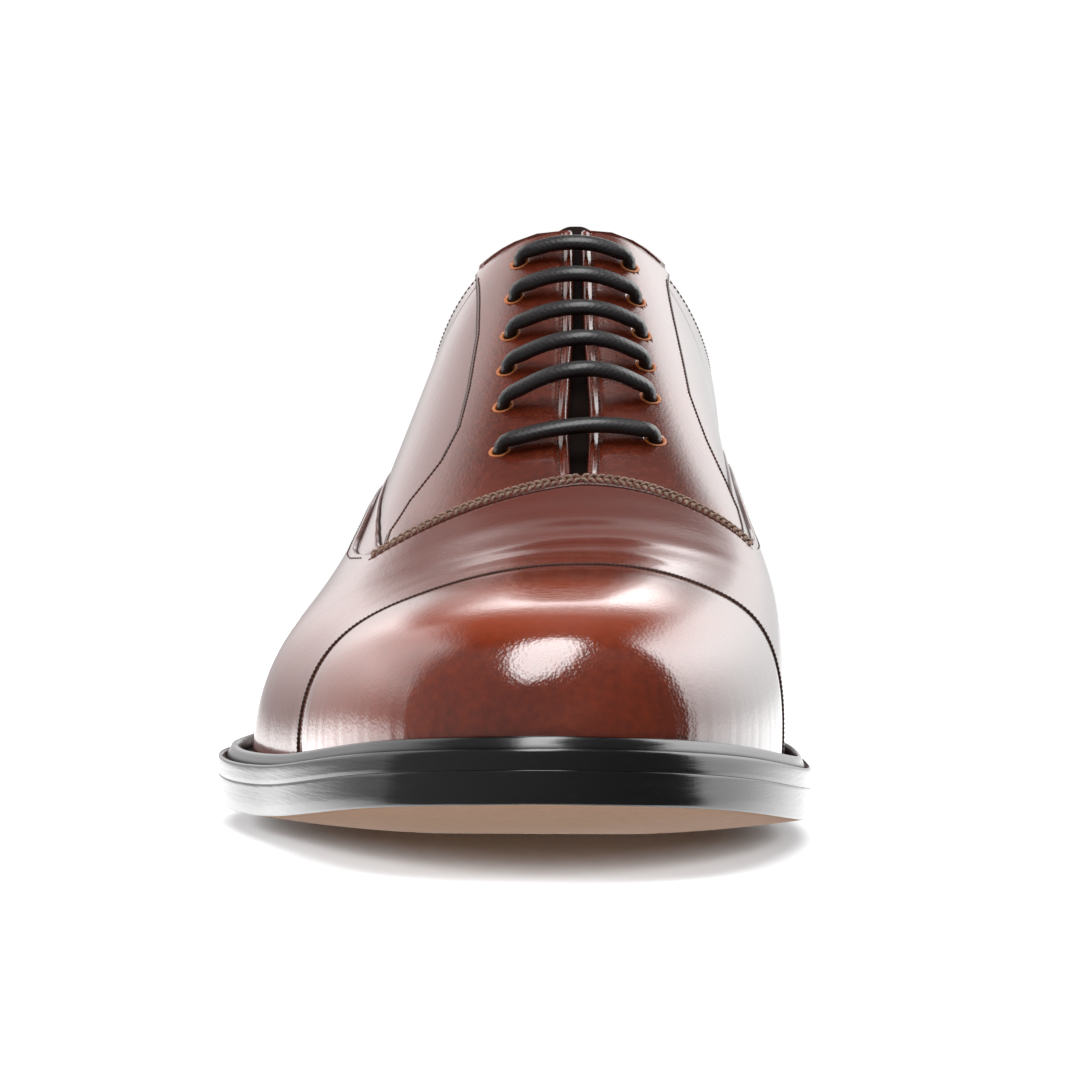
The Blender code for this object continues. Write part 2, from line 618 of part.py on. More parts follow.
def make_upper():
    """One hollow wall: outside with the vamp's step, inside, foot rim, collar and throat rim."""
    throat = float(side_at(THROAT))
    front = np.array(FRONT_SIDES + (throat,))
    back = np.concatenate(([throat], side_at(np.array(BACK_ALONG)), np.linspace(1.0, 2.0, HEEL_STEPS + 1)))
    patches = []
    for front_loop, back_loop in zip(both_sides(front), both_sides(back)):
        rows_throat = row_shares(back_loop[:1])
        even = np.linspace(0.0, 0.5, rows_throat.shape[1])[None, :]
        blend = smooth(np.linspace(0.0, 1.0, len(front_loop)))[:, None]
        rows_front = even + (rows_throat - even) * blend
        rows_back = row_shares(back_loop)
        outer = skin(front_loop[:, None], rows_front, VAMP_STEP)
        inner = skin(front_loop[:, None], rows_front, -WALL_THICK)
        galosh = skin(back_loop[:, None], rows_back[:, :LOWER_ROWS + 1], VAMP_STEP)
        quarter = skin(back_loop[:, None], rows_back[:, LOWER_ROWS:], 0.0)
        lining = skin(back_loop[:, None], rows_back, -WALL_THICK)
        patches += [outer, inner, galosh, quarter, lining]
        patches.append(strip(galosh[:, -1], quarter[:, 0]))
        patches.append(strip(outer[-1, LOWER_ROWS:], quarter[0]))
        patches.append(strip(outer[:, 0], inner[:, 0]))
        patches.append(strip(galosh[:, 0], lining[:, 0]))
        patches.append(strip(quarter[:, -1], lining[:, -1]))
    return solid("upper", patches, (0.20, 0.07, 0.045), 0.25)


def make_toe_cap():
    """Overlay on the vamp in front of the cap's seam."""
    sides = np.linspace(0.0, float(side_at(CAP_SEAM)), 11)
    rows = np.linspace(0.0, 0.5, 12)
    patches = []
    for loop in both_sides(sides):
        low = skin(loop[:, None], rows[None, :], VAMP_STEP + SEAT_GAP)
        high = skin(loop[:, None], rows[None, :], VAMP_STEP + SEAT_GAP + CAP_THICK)
        patches += [low, high, strip(low[-1], high[-1]), strip(low[:, 0], high[:, 0])]
    return solid("toe_cap", patches, (0.20, 0.07, 0.045), 0.25)


def make_facings():
    """Eyestay overlays on the quarters, one each side of the slit."""
    sides = side_at(np.array((THROAT - FACING_SETBACK,) + BACK_ALONG[:13]))
    made = []
    for name, loop in zip(("facing_lateral", "facing_medial"), both_sides(sides)):
        vamp, facing, top = edges(loop)
        low_edge = np.maximum(facing, vamp + FACING_CLEAR)
        rows = low_edge[:, None] + (top - low_edge)[:, None] * np.linspace(0.0, 1.0, FACING_ROWS + 1)[None, :]
        low = skin(loop[:, None], rows, SEAT_GAP)
        high = skin(loop[:, None], rows, SEAT_GAP + FACING_THICK)
        made.append(solid(name, (low, high, strip(open_rim(low), open_rim(high))), (0.20, 0.07, 0.045), 0.25))
    return made


def eyelet_places():
    """Loop and share of each eyelet, a row per pair."""
    hole = table(EYELET_COLUMNS, EYELETS)
    outer = side_at(hole["along_lateral"])
    inner = 4.0 - side_at(hole["along_medial"])
    return outer, hole["share_lateral"], inner, hole["share_medial"]


def cut_eyelets(upper, facings):
    """Punch the lace holes through the facings and the wall behind them."""
    outer, share_outer, inner, share_inner = eyelet_places()
    turn = np.linspace(0.0, 2.0 * np.pi, 13)[:-1]
    for target, pairs in (
        (upper, ((outer, share_outer), (inner, share_inner))),
        (facings[0], ((outer, share_outer),)),
        (facings[1], ((inner, share_inner),)),
    ):
        bm = bmesh.new()
        for loops, shares in pairs:
            for loop, share in zip(loops, shares):
                low = to_part(last(loop, share) + 6.0 * (last(loop, share) - plain_skin(loop, share, 1.0)))
                high = to_part(plain_skin(loop, share, 5.0))
                axis = (high - low) / np.linalg.norm(high - low)
                flat = np.cross(axis, (0.0, 1.0, 0.0))
                flat = flat / np.linalg.norm(flat)
                cross = np.cross(axis, flat)
                ring = EYELET_RADIUS * MM * (np.cos(turn)[:, None] * flat + np.sin(turn)[:, None] * cross)
                lower = [bm.verts.new(low + point) for point in ring]
                upper_ring = [bm.verts.new(high + point) for point in ring]
                bm.faces.new(lower[::-1])
                bm.faces.new(upper_ring)
                for i in range(len(turn)):
                    j = (i + 1) % len(turn)
                    bm.faces.new((lower[i], lower[j], upper_ring[j], upper_ring[i]))
        bmesh.ops.recalc_face_normals(bm, faces=bm.faces)
        mesh = bpy.data.meshes.new(target.name + "_eyelet_cutter")
        bm.to_mesh(mesh)
        bm.free()
        cutter = bpy.data.objects.new(mesh.name, mesh)
        bpy.context.scene.collection.objects.link(cutter)
        cutter.hide_render = True
        cutter.display_type = "WIRE"
        cut = target.modifiers.new("eyelets", "BOOLEAN")
        cut.operation = "DIFFERENCE"
        cut.solver = "EXACT"
        cut.object = cutter


def plain_skin(loop, share, offset):
    """Offset point at a true place along the shoe, without the columns' sweep."""
    step = 1e-4
    around = last(loop + step, share) - last(loop - step, share)
    up = last(loop, share + step) - last(loop, share - step)
    normal = np.cross(around, up)
    normal = normal / np.linalg.norm(normal, axis=-1, keepdims=True)
    return last(loop, share) + normal * np.asarray(offset, float)[..., None]


def make_tongue():
    """Soft tongue under the facings, from under the vamp to a rounded end just over the collar's front."""
    along = TONGUE_BACK + (TONGUE_FRONT - TONGUE_BACK) * np.linspace(1.0, 0.0, 16) ** 1.6
    round_end = np.clip(1.0 - (along - TONGUE_BACK) / TONGUE_ROUND, 0.0, 1.0)
    half = (0.15 + 0.02 * smooth((along - 110.0) / 40.0)) * (0.2 + 0.8 * np.sqrt(1.0 - round_end ** 2))
    tip = smooth((TONGUE_BACK + 7.0 - along) / 7.0)[:, None]
    patches = []
    for medial in (False, True):
        side = side_at(along)
        loop = 4.0 - side if medial else side
        rows = 0.5 - half[:, None] * np.linspace(1.0, 0.0, 5)[None, :]
        top = TONGUE_RAISE * tip * smooth((rows - 0.44) / 0.05) - WALL_THICK - TONGUE_GAP
        high = plain_skin(loop[:, None] + 0.0 * rows, rows, top)
        low = plain_skin(loop[:, None] + 0.0 * rows, rows, top - TONGUE_THICK)
        border = [np.concatenate((grid[0, ::-1], grid[1:, 0], grid[-1, 1:])) for grid in (low, high)]
        patches += [low, high, strip(*border)]
    return solid("tongue", patches, (0.06, 0.035, 0.03), 0.5)


def make_lace():
    """Straight bars over the facings; each end turns down into its eyelet."""
    outer, share_outer, inner, share_inner = eyelet_places()
    clear = SEAT_GAP + FACING_THICK + SEAT_GAP + LACE_HALF_THICK + 0.1
    # one row per ring from an end: distance along the bar, height over the last, half width, half thickness
    ends = np.array((
        (0.0, -0.6, LACE_END_RADIUS, LACE_END_RADIUS), (0.0, 0.6, LACE_END_RADIUS, LACE_END_RADIUS),
        (0.25, 1.7, LACE_END_RADIUS, LACE_END_RADIUS), (1.4, clear + 0.2, 1.4, LACE_HALF_THICK),
        (3.4, clear + 0.1, LACE_HALF_WIDTH, LACE_HALF_THICK),
    ))
    turn = np.linspace(0.0, 2.0 * np.pi, 9)
    made = []
    for k in range(len(outer)):
        start, stop = last(outer[k], share_outer[k]), last(inner[k], share_inner[k])
        span = np.linalg.norm(stop - start) * 1.12
        middle = np.linspace(0.2, 0.8, 7)
        t = np.concatenate((ends[:, 0] / span, middle, 1.0 - ends[::-1, 0] / span))
        height = np.concatenate((ends[:, 1], np.full(7, clear + 0.1), ends[::-1, 1]))
        wide = np.concatenate((ends[:, 2], np.full(7, LACE_HALF_WIDTH), ends[::-1, 2]))
        thick = np.concatenate((ends[:, 3], np.full(7, LACE_HALF_THICK), ends[::-1, 3]))
        arch = share_outer[k] + (1.0 - share_inner[k] - share_outer[k]) * t
        side = outer[k] + (4.0 - inner[k] - outer[k]) * t
        loop = np.where(arch > 0.5, 4.0 - side, side)
        share = np.where(arch > 0.5, 1.0 - arch, arch)
        path = plain_skin(loop, share, height)
        ahead = np.gradient(path, axis=0)
        ahead = ahead / np.linalg.norm(ahead, axis=1, keepdims=True)
        slope = plain_skin(np.where(arch > 0.5, loop + 0.01, loop - 0.01), share, height)
        flat = slope - path
        flat = flat - ahead * (flat * ahead).sum(1, keepdims=True)
        flat = flat / np.linalg.norm(flat, axis=1, keepdims=True)
        rise = np.cross(ahead, flat)
        ring = path[:, None] + np.cos(turn)[None, :, None] * (wide[:, None] * flat)[:, None]
        ring = ring + np.sin(turn)[None, :, None] * (thick[:, None] * rise)[:, None]
        caps = [strip(np.repeat(path[i][None], 9, axis=0), ring[i]) for i in (0, -1)]
        made.append(solid(f"lace_bar_{k + 1}", [ring] + caps, (0.03, 0.02, 0.022), 0.5))
    return made


def main():
    """Clear the scene and make every piece."""
    for thing in list(bpy.data.objects):
        bpy.data.objects.remove(thing, do_unlink=True)
    make_outsole()
    make_welt()
    make_heel()
    make_insole()
    upper = make_upper()
    make_toe_cap()
    facings = make_facings()
    cut_eyelets(upper, facings)
    make_tongue()
    make_lace()


if __name__ == "__main__":
    main()
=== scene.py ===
# %% [markdown]
# # A cap toe oxford, dressed
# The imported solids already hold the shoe's true shape. This lesson puts the real surface over them: leather
# panels with rolled edges, seams, stitches, a corded lace, a welted sole with a black dressed edge. Each step
# says what the piece is on a real shoe and why it is made the way it is here.

import bmesh
import bpy
import numpy as np
from mathutils import Matrix, Vector


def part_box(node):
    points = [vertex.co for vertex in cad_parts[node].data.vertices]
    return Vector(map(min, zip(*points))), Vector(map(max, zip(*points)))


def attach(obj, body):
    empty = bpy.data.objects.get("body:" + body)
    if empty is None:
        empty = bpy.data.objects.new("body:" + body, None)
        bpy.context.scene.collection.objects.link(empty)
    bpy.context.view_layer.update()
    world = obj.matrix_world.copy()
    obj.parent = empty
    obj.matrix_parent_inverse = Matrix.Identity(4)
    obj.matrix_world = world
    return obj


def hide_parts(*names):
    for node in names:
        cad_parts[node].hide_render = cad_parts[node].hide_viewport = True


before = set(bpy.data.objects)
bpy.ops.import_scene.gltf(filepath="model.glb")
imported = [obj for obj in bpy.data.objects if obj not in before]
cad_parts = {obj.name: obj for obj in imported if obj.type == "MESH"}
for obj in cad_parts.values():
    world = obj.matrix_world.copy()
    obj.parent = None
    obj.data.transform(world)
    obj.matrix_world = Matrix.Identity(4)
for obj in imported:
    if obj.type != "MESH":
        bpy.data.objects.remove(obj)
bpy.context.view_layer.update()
scene = bpy.context.scene

# %% [markdown]
# ## Camera
# The photograph was taken from in front of the toe, low down, with a long lens. Its distance, height and turn
# were worked out from the shoe's outline, so the camera is put there as numbers, in metres, and tips down by
# the angle between the horizon and the middle of the picture.

# %% Camera
CAMERA_PLACE = (0.03226, -0.65207, 0.060)
CAMERA_YAW = np.radians(2.6)
CAMERA_TIP = np.radians(0.632)
FOCAL_PIXELS = 3216.0
PICTURE = 1073.0

lens = bpy.data.cameras.new("photo_camera")
lens.sensor_width = 36.0
lens.lens = FOCAL_PIXELS / PICTURE * lens.sensor_width
lens.clip_start = 0.01
camera = bpy.data.objects.new("photo_camera", lens)
camera.location = CAMERA_PLACE
camera.rotation_euler = (np.pi / 2.0 - CAMERA_TIP, 0.0, CAMERA_YAW)
scene.collection.objects.link(camera)
scene.camera = camera
print("lens", round(lens.lens, 1), "mm")

# %% [markdown]
# ## The last
# A shoe is built over a last, a solid foot shape. The leather's surface is a function of two parameters here:
# loop runs once round the shoe, from the toe along the outer side, round the heel and back along the inner
# side; share climbs the arch of each cross section, 0 at the sole and 0.5 at the ridge. Each section is a
# curve through seven points, read from a short table, so every panel and stitch can ask for its own place.
# Sculpting each panel on its own would leave gaps between them; one shared surface can't.

# %% Sizes of the last, in millimetres
MM = 0.001
OUTSOLE_LENGTH = 304.0
LAST_TIP = 294.0
HEEL_CENTRE = 45.0
BALL_HALF_WIDTH = 54.0
HEEL_HEIGHT = 25.5
TOE_SPRING = 12.9
TOE_CURVE = 1.65
INSTEP_TOP = 108.0
THROAT = 182.5
CAP_SEAM = 236.5
OUTSOLE_THICK = 5.4
WELT_THICK = 3.2
SEAT_GAP = 0.3
SOLE_HEIGHT = OUTSOLE_THICK + SEAT_GAP + WELT_THICK
BALL_FLAT_BACK = 195.0
BALL_FLAT_FRONT = 215.0
HEEL_FLAT = 15.0
CROWN = 3.8
CROWN_FLAT = 18.0
CROWN_FLAT_TOE = 5.0
CROWN_BACK = 110.0
CROWN_RUN = 60.0
CROWN_CURVE = 1.7
LOOP = 4.0
RIDGE = 0.5

SECTION_COLUMNS = (
    "along", "lateral", "medial", "ridge_x", "ridge_z", "out_lateral", "out_medial", "up_lateral",
    "up_medial", "shoulder_lateral", "shoulder_medial", "shoulder_up_lateral", "shoulder_up_medial",
)
SECTIONS = (
    (45.0, 31.5, 31.5, 0.0, 125.0, 5.5, 5.5, 0.26, 0.26, 0.95, 0.95, 0.92, 0.92),
    (60.0, 31.5, 31.0, 0.4, 125.5, 5.5, 6.6, 0.30, 0.30, 0.90, 0.95, 0.93, 0.93),
    (80.0, 32.9, 29.4, 1.2, 125.0, 4.6, 9.0, 0.34, 0.37, 0.82, 0.96, 0.95, 0.95),
    (96.0, 34.7, 28.0, 2.0, 122.0, 3.8, 11.0, 0.37, 0.42, 0.71, 0.92, 0.96, 0.96),
    (108.0, 36.8, 27.4, 2.8, 117.5, 3.6, 12.5, 0.39, 0.46, 0.64, 0.86, 0.96, 0.96),
    (130.0, 41.6, 28.4, 3.8, 101.5, 2.0, 12.4, 0.42, 0.52, 0.61, 0.90, 0.95, 0.97),
    (150.0, 46.4, 31.2, 4.6, 86.0, -1.2, 10.2, 0.45, 0.60, 0.60, 0.89, 0.94, 0.98),
    (171.0, 51.0, 35.4, 5.3, 71.0, -2.0, 7.4, 0.46, 0.69, 0.58, 0.87, 0.93, 0.97),
    (190.0, 53.9, 39.4, 6.0, 60.2, -1.4, 4.6, 0.48, 0.76, 0.57, 0.85, 0.92, 0.97),
    (208.0, 52.5, 41.6, 6.8, 53.2, 0.0, 2.8, 0.52, 0.79, 0.58, 0.83, 0.92, 0.97),
    (224.0, 47.4, 42.2, 7.2, 49.0, 0.9, 1.8, 0.56, 0.77, 0.59, 0.78, 0.92, 0.96),
    (240.0, 40.8, 41.2, 6.8, 46.3, 1.2, 1.7, 0.58, 0.72, 0.59, 0.73, 0.92, 0.95),
    (256.0, 34.6, 38.4, 6.0, 44.0, 1.4, 1.6, 0.60, 0.67, 0.63, 0.71, 0.93, 0.95),
    (270.0, 28.2, 34.2, 5.2, 41.6, 1.5, 1.5, 0.62, 0.64, 0.70, 0.72, 0.95, 0.96),
    (282.0, 20.4, 27.8, 4.6, 38.8, 1.4, 1.4, 0.62, 0.62, 0.70, 0.71, 0.95, 0.95),
    (290.0, 10.6, 18.8, 4.2, 33.4, 0.9, 0.9, 0.62, 0.62, 0.70, 0.70, 0.95, 0.95),
    (294.0, -4.0, 4.0, 4.0, 21.3, 0.0, 0.0, 0.62, 0.62, 0.70, 0.70, 0.95, 0.95),
)
HEEL_REACH = np.array((41.5, 48.0, 34.0))
HEEL_ROUNDNESS = 2.0 / 2.35
SPANS = 4.0
KNOTS = np.array((0, 0, 0, 0, 1, 2, 3, 4, 4, 4, 4), float)
print("sections:", len(SECTIONS))


# %% Tables and curves
def table(columns, rows):
    """A table's rows as one array per named column."""
    return dict(zip(columns, np.array(rows, float).T))


def smooth(t):
    """0 below 0, 1 above 1, and between them three times t squared less two times t cubed."""
    t = np.clip(t, 0.0, 1.0)
    return t * t * (3.0 - 2.0 * t)


class Curve:
    """Natural cubic spline through pairs of numbers: the bends at the pairs solve one linear system."""

    def __init__(self, x, y):
        self.x = np.asarray(x, float)
        self.y = np.asarray(y, float)
        self.step = np.diff(self.x)
        count = len(self.x)
        system = np.eye(count)
        right = np.zeros(count)
        slope = np.diff(self.y) / self.step
        inside = np.arange(1, count - 1)
        system[inside, inside - 1] = self.step[:-1]
        system[inside, inside] = 2.0 * (self.step[:-1] + self.step[1:])
        system[inside, inside + 1] = self.step[1:]
        right[inside] = 6.0 * np.diff(slope)
        self.bend = np.linalg.solve(system, right)

    def __call__(self, t):
        t = np.asarray(t, float)
        i = np.clip(np.searchsorted(self.x, t) - 1, 0, len(self.step) - 1)
        h = self.step[i]
        a = (self.x[i + 1] - t) / h
        b = 1.0 - a
        cubic = (a ** 3 - a) * self.bend[i] + (b ** 3 - b) * self.bend[i + 1]
        return a * self.y[i] + b * self.y[i + 1] + cubic * h * h / 6.0


def side_at(along):
    """Place round the shoe of a distance along it: the root of the distance from the toe, 1 at the heel."""
    return np.sqrt(np.clip((LAST_TIP - np.asarray(along, float)) / (LAST_TIP - HEEL_CENTRE), 0.0, None))


def along_at(side):
    """Distance along the shoe of a place round it, the inverse of side_at."""
    return LAST_TIP - (LAST_TIP - HEEL_CENTRE) * np.clip(side, 0.0, 1.0) ** 2


def fold(loop):
    """Whether a place round the shoe is on the inner side, and its way from the toe: loop, or 4 less loop."""
    loop = np.asarray(loop, float)
    medial = loop > 0.5 * LOOP
    return medial, np.where(medial, LOOP - loop, loop)


def unfold(side, medial):
    """Place round the shoe of a way from the toe on one side, the inverse of fold."""
    return np.where(medial, LOOP - np.asarray(side, float), side)


# %% Underside of the sole
def underside(along):
    """Height of the sole's middle line: heel pitch, flat ball, toe spring."""
    toe = np.clip(along - BALL_FLAT_FRONT, 0.0, None) / (OUTSOLE_LENGTH - BALL_FLAT_FRONT)
    heel = smooth((BALL_FLAT_BACK - along) / (BALL_FLAT_BACK - HEEL_FLAT))
    return TOE_SPRING * toe ** TOE_CURVE + HEEL_HEIGHT * heel


def pitch(along):
    """Angle of the sole's middle line."""
    return np.arctan(underside(along + 0.5) - underside(along - 0.5))


PROBE = np.linspace(-20.0, OUTSOLE_LENGTH + 20.0, 3401)
PROBE_ALONG = PROBE - SOLE_HEIGHT * np.sin(pitch(PROBE))
PROBE_HEIGHT = underside(PROBE) + SOLE_HEIGHT * np.cos(pitch(PROBE))
SECTION = table(SECTION_COLUMNS, SECTIONS[::-1])
SECTION_SIDE = side_at(SECTION["along"])
COLUMN = {name: Curve(SECTION_SIDE, values) for name, values in SECTION.items() if name != "ridge_z"}
RISE = SECTION["ridge_z"] - np.interp(SECTION["along"], PROBE_ALONG, PROBE_HEIGHT)
RISE[0] = SEAT_GAP
COLUMN["rise"] = Curve(SECTION_SIDE, RISE)


def crown(x, along):
    """How far the sole curls up at x: nothing near the middle, more with width, fading under the arch."""
    side = side_at(along)
    middle = 0.5 * (COLUMN["medial"](side) - COLUMN["lateral"](side))
    toe = smooth((along - BALL_FLAT_FRONT) / (LAST_TIP - BALL_FLAT_FRONT))
    flat = CROWN_FLAT + (CROWN_FLAT_TOE - CROWN_FLAT) * toe
    reach = (np.abs(x - middle) - flat) / (BALL_HALF_WIDTH - flat)
    return CROWN * np.clip(reach, 0.0, None) ** CROWN_CURVE * smooth((along - CROWN_BACK) / CROWN_RUN)


def welt_top(x, along):
    """Height of the surface that the upper stands on."""
    return np.interp(along, PROBE_ALONG, PROBE_HEIGHT) + crown(x, along)


print("toe spring at the tip:", round(float(underside(OUTSOLE_LENGTH)), 1), "mm")


# %% Surface of the last
def weights(u):
    """Clamped cubic B-spline weights of the seven section points, u from 0 to 4."""
    u = np.clip(np.asarray(u, float), 0.0, SPANS - 1e-9)
    level = [((KNOTS[i] <= u) & (u < KNOTS[i + 1])).astype(float) for i in range(10)]
    for degree in (1, 2, 3):
        above = []
        for i in range(10 - degree):
            value = np.zeros_like(u)
            left = KNOTS[i + degree] - KNOTS[i]
            right = KNOTS[i + degree + 1] - KNOTS[i + 1]
            if left > 0.0:
                value = value + (u - KNOTS[i]) / left * level[i]
            if right > 0.0:
                value = value + (KNOTS[i + degree + 1] - u) / right * level[i + 1]
            above.append(value)
        level = above
    return np.stack(level[:7], axis=-1)


def section_points(side):
    """Seven control points of the arch at a place: outer foot, wall, shoulder, ridge, then the inner side."""
    c = {name: curve(side) for name, curve in COLUMN.items()}
    along = along_at(side)
    foot_l = welt_top(-c["lateral"], along) + SEAT_GAP
    foot_m = welt_top(c["medial"], along) + SEAT_GAP
    ridge_z = np.interp(along, PROBE_ALONG, PROBE_HEIGHT) + c["rise"]
    ridge_x = c["ridge_x"]
    shoulder_l = ridge_x - (ridge_x + c["lateral"]) * c["shoulder_lateral"]
    shoulder_m = ridge_x + (c["medial"] - ridge_x) * c["shoulder_medial"]
    shoulder_lz = foot_l + (ridge_z - foot_l) * c["shoulder_up_lateral"]
    shoulder_mz = foot_m + (ridge_z - foot_m) * c["shoulder_up_medial"]
    top_x = 1.5 * (ridge_x - (shoulder_l + shoulder_m) / 6.0)
    top_z = 1.5 * (ridge_z - (shoulder_lz + shoulder_mz) / 6.0)
    x = (
        -c["lateral"], -c["lateral"] - c["out_lateral"], shoulder_l, top_x, shoulder_m,
        c["medial"] + c["out_medial"], c["medial"],
    )
    z = (
        foot_l, foot_l + (ridge_z - foot_l) * c["up_lateral"], shoulder_lz, top_z, shoulder_mz,
        foot_m + (ridge_z - foot_m) * c["up_medial"], foot_m,
    )
    return np.stack(np.broadcast_arrays(*x), -1), np.stack(np.broadcast_arrays(*z), -1)


HEEL_X, HEEL_Z = section_points(np.array(1.0))


def last(loop, share):
    """Point of the last: section points weighted by the spline, with the heel's half turned as an oval."""
    loop, share = np.broadcast_arrays(np.asarray(loop, float), np.asarray(share, float))
    medial, side = fold(loop)
    x, z = section_points(np.clip(side, 0.0, 1.0))
    w = weights(SPANS * np.where(medial, 1.0 - share, share))
    front = np.stack(((w * x).sum(-1), along_at(side), (w * z).sum(-1)), -1)
    turn = np.clip(side - 1.0, 0.0, 1.0) * np.pi / 2.0
    across = np.cos(turn) ** HEEL_ROUNDNESS
    back = np.sin(turn) ** HEEL_ROUNDNESS
    w = weights(SPANS * share)
    near = w[..., :3] - w[..., [6, 5, 4]]
    heel_x = (near * -HEEL_X[:3]).sum(-1) * across
    heel_along = HEEL_CENTRE - (near * HEEL_REACH).sum(-1) * back
    foot = welt_top(0.0, HEEL_CENTRE - HEEL_REACH[0] * back) + SEAT_GAP - HEEL_Z[0]
    heel_z = (w * HEEL_Z).sum(-1) + foot * (w[..., 0] + w[..., 1] + w[..., 5] + w[..., 6])
    heel = np.stack((np.where(medial, heel_x, -heel_x), heel_along, heel_z), -1)
    return np.where((side > 1.0)[..., None], heel, front)


# %% [markdown]
# ## Seams on the last
# The vamp's throat and the toe cap's edge bow forward as they go down the sides. The columns of the surface
# are swept along with them, so a seam is simply one column of the grid and a panel can end on it exactly.
# Cutting the seams into a finished mesh would leave ragged edges instead.

# %% Seams
CORNER_LATERAL = 0.220
CORNER_MEDIAL = 0.188
SEAM_COLUMNS = ("along", "vamp_lateral", "vamp_medial", "facing_lateral", "facing_medial")
SEAMS = (
    (45.0, 0.100, 0.100, 0.285, 0.285),
    (80.0, 0.100, 0.100, 0.285, 0.285),
    (110.0, 0.110, 0.108, 0.287, 0.276),
    (130.0, 0.130, 0.128, 0.306, 0.266),
    (145.0, 0.145, 0.140, 0.306, 0.257),
    (155.0, 0.153, 0.146, 0.300, 0.230),
    (162.0, 0.160, 0.149, 0.280, 0.200),
    (168.0, 0.170, 0.153, 0.243, 0.185),
    (175.0, 0.190, 0.165, 0.226, 0.187),
    (THROAT, CORNER_LATERAL, CORNER_MEDIAL, 0.228, 0.196),
)
THROAT_SWEEP_LATERAL = 9.0
THROAT_SWEEP_MEDIAL = 15.0
THROAT_SPREAD = 30.0
THROAT_BOW_LATERAL = 1.25
THROAT_BOW_MEDIAL = 1.7
CAP_SWEEP = 7.0
CAP_SPREAD = 16.0
CAP_SWEEP_TOP = 0.46
CAP_SWEEP_RUN = 0.28
TOPLINE_COLUMNS = ("along", "height")
TOPLINE = (
    (45.0, 87.6), (52.0, 86.8), (60.0, 87.2), (70.0, 89.2), (80.0, 93.0), (90.0, 98.8), (98.0, 105.6),
    (102.0, 109.8), (105.0, 113.3), (107.0, 116.0), (108.5, 118.4), (112.0, 124.0),
)
TOPLINE_HEEL_RISE = 5.4
TOPLINE_MEDIAL_RISE = 2.0
TOPLINE_RISE_AT = 60.0
TOPLINE_RISE_RUN = 30.0
SLIT_FROM = INSTEP_TOP + 4.0
COLLAR_TO = INSTEP_TOP - 12.0
UNDER_RIDGE = 0.495
GAP_COLUMNS = ("along", "half")
GAP = (
    (108.0, 0.8), (120.0, 0.9), (140.0, 1.1), (150.0, 1.6), (163.0, 2.1), (176.0, 1.7), (181.0, 1.5),
    (THROAT, 1.3),
)
EYELET_COLUMNS = ("along_lateral", "share_lateral", "along_medial", "share_medial")
EYELETS = (
    (115.8, 0.364, 117.6, 0.363),
    (125.8, 0.359, 127.7, 0.354),
    (136.2, 0.359, 137.6, 0.349),
    (146.4, 0.359, 147.0, 0.345),
    (157.0, 0.359, 156.4, 0.342),
    (170.6, 0.362, 169.0, 0.342),
)


def swept(loop, share):
    """A column's true place at a share of the arch: near the throat and the cap it follows their seams."""
    medial, side = fold(loop)
    along = along_at(side)
    corner = np.where(medial, CORNER_MEDIAL, CORNER_LATERAL)
    bow = np.where(medial, THROAT_BOW_MEDIAL, THROAT_BOW_LATERAL)
    down = np.clip((RIDGE - share) / (RIDGE - corner), 0.0, 1.0) ** bow * smooth(share / corner)
    reach = np.where(medial, THROAT_SWEEP_MEDIAL, THROAT_SWEEP_LATERAL)
    throat = reach * down * np.exp(-((along - THROAT) / THROAT_SPREAD) ** 2)
    cap = CAP_SWEEP * smooth((CAP_SWEEP_TOP - share) / CAP_SWEEP_RUN)
    cap = cap * np.exp(-((along - CAP_SEAM) / CAP_SPREAD) ** 2)
    return np.where(side > 1.0, loop, unfold(side_at(along + throat + cap), medial))


def skin(loop, share, offset=0.0, sweep=True):
    """Point at a distance outside the last: the last's point plus offset times the cross of its tangents."""
    loop, share, offset = np.broadcast_arrays(*(np.asarray(value, float) for value in (loop, share, offset)))
    step = 1e-4

    def place_at(turn, climb):
        return last(swept(turn, climb) if sweep else turn, climb)

    place = place_at(loop, share)
    around = place_at(loop + step, share) - place_at(loop - step, share)
    low = share < step
    up = place_at(loop, share + step) - np.where(low[..., None], place, place_at(loop, share - step))
    normal = np.cross(around, up)
    normal = normal / np.maximum(np.linalg.norm(normal, axis=-1, keepdims=True), 1e-12)
    tip = (loop < 1e-3) | (loop > LOOP - 1e-3)
    normal = np.where(tip[..., None], np.array((0.0, 1.0, 0.0)), normal)
    point = place + normal * offset[..., None]
    on_welt = welt_top(point[..., 0], point[..., 1]) + SEAT_GAP
    point[..., 2] = np.where(low | tip, on_welt, point[..., 2])
    point[..., 2] = np.maximum(point[..., 2], on_welt)
    return point


def share_where(loop, measure, wanted):
    """Share of the arch at which a rising measure reaches the wanted value, column by column."""
    shares = np.linspace(0.02, RIDGE, 400)
    values = measure(last(swept(loop[:, None], shares[None, :]), shares[None, :]))
    return np.array([np.interp(w, v, shares) for w, v in zip(wanted, values)])


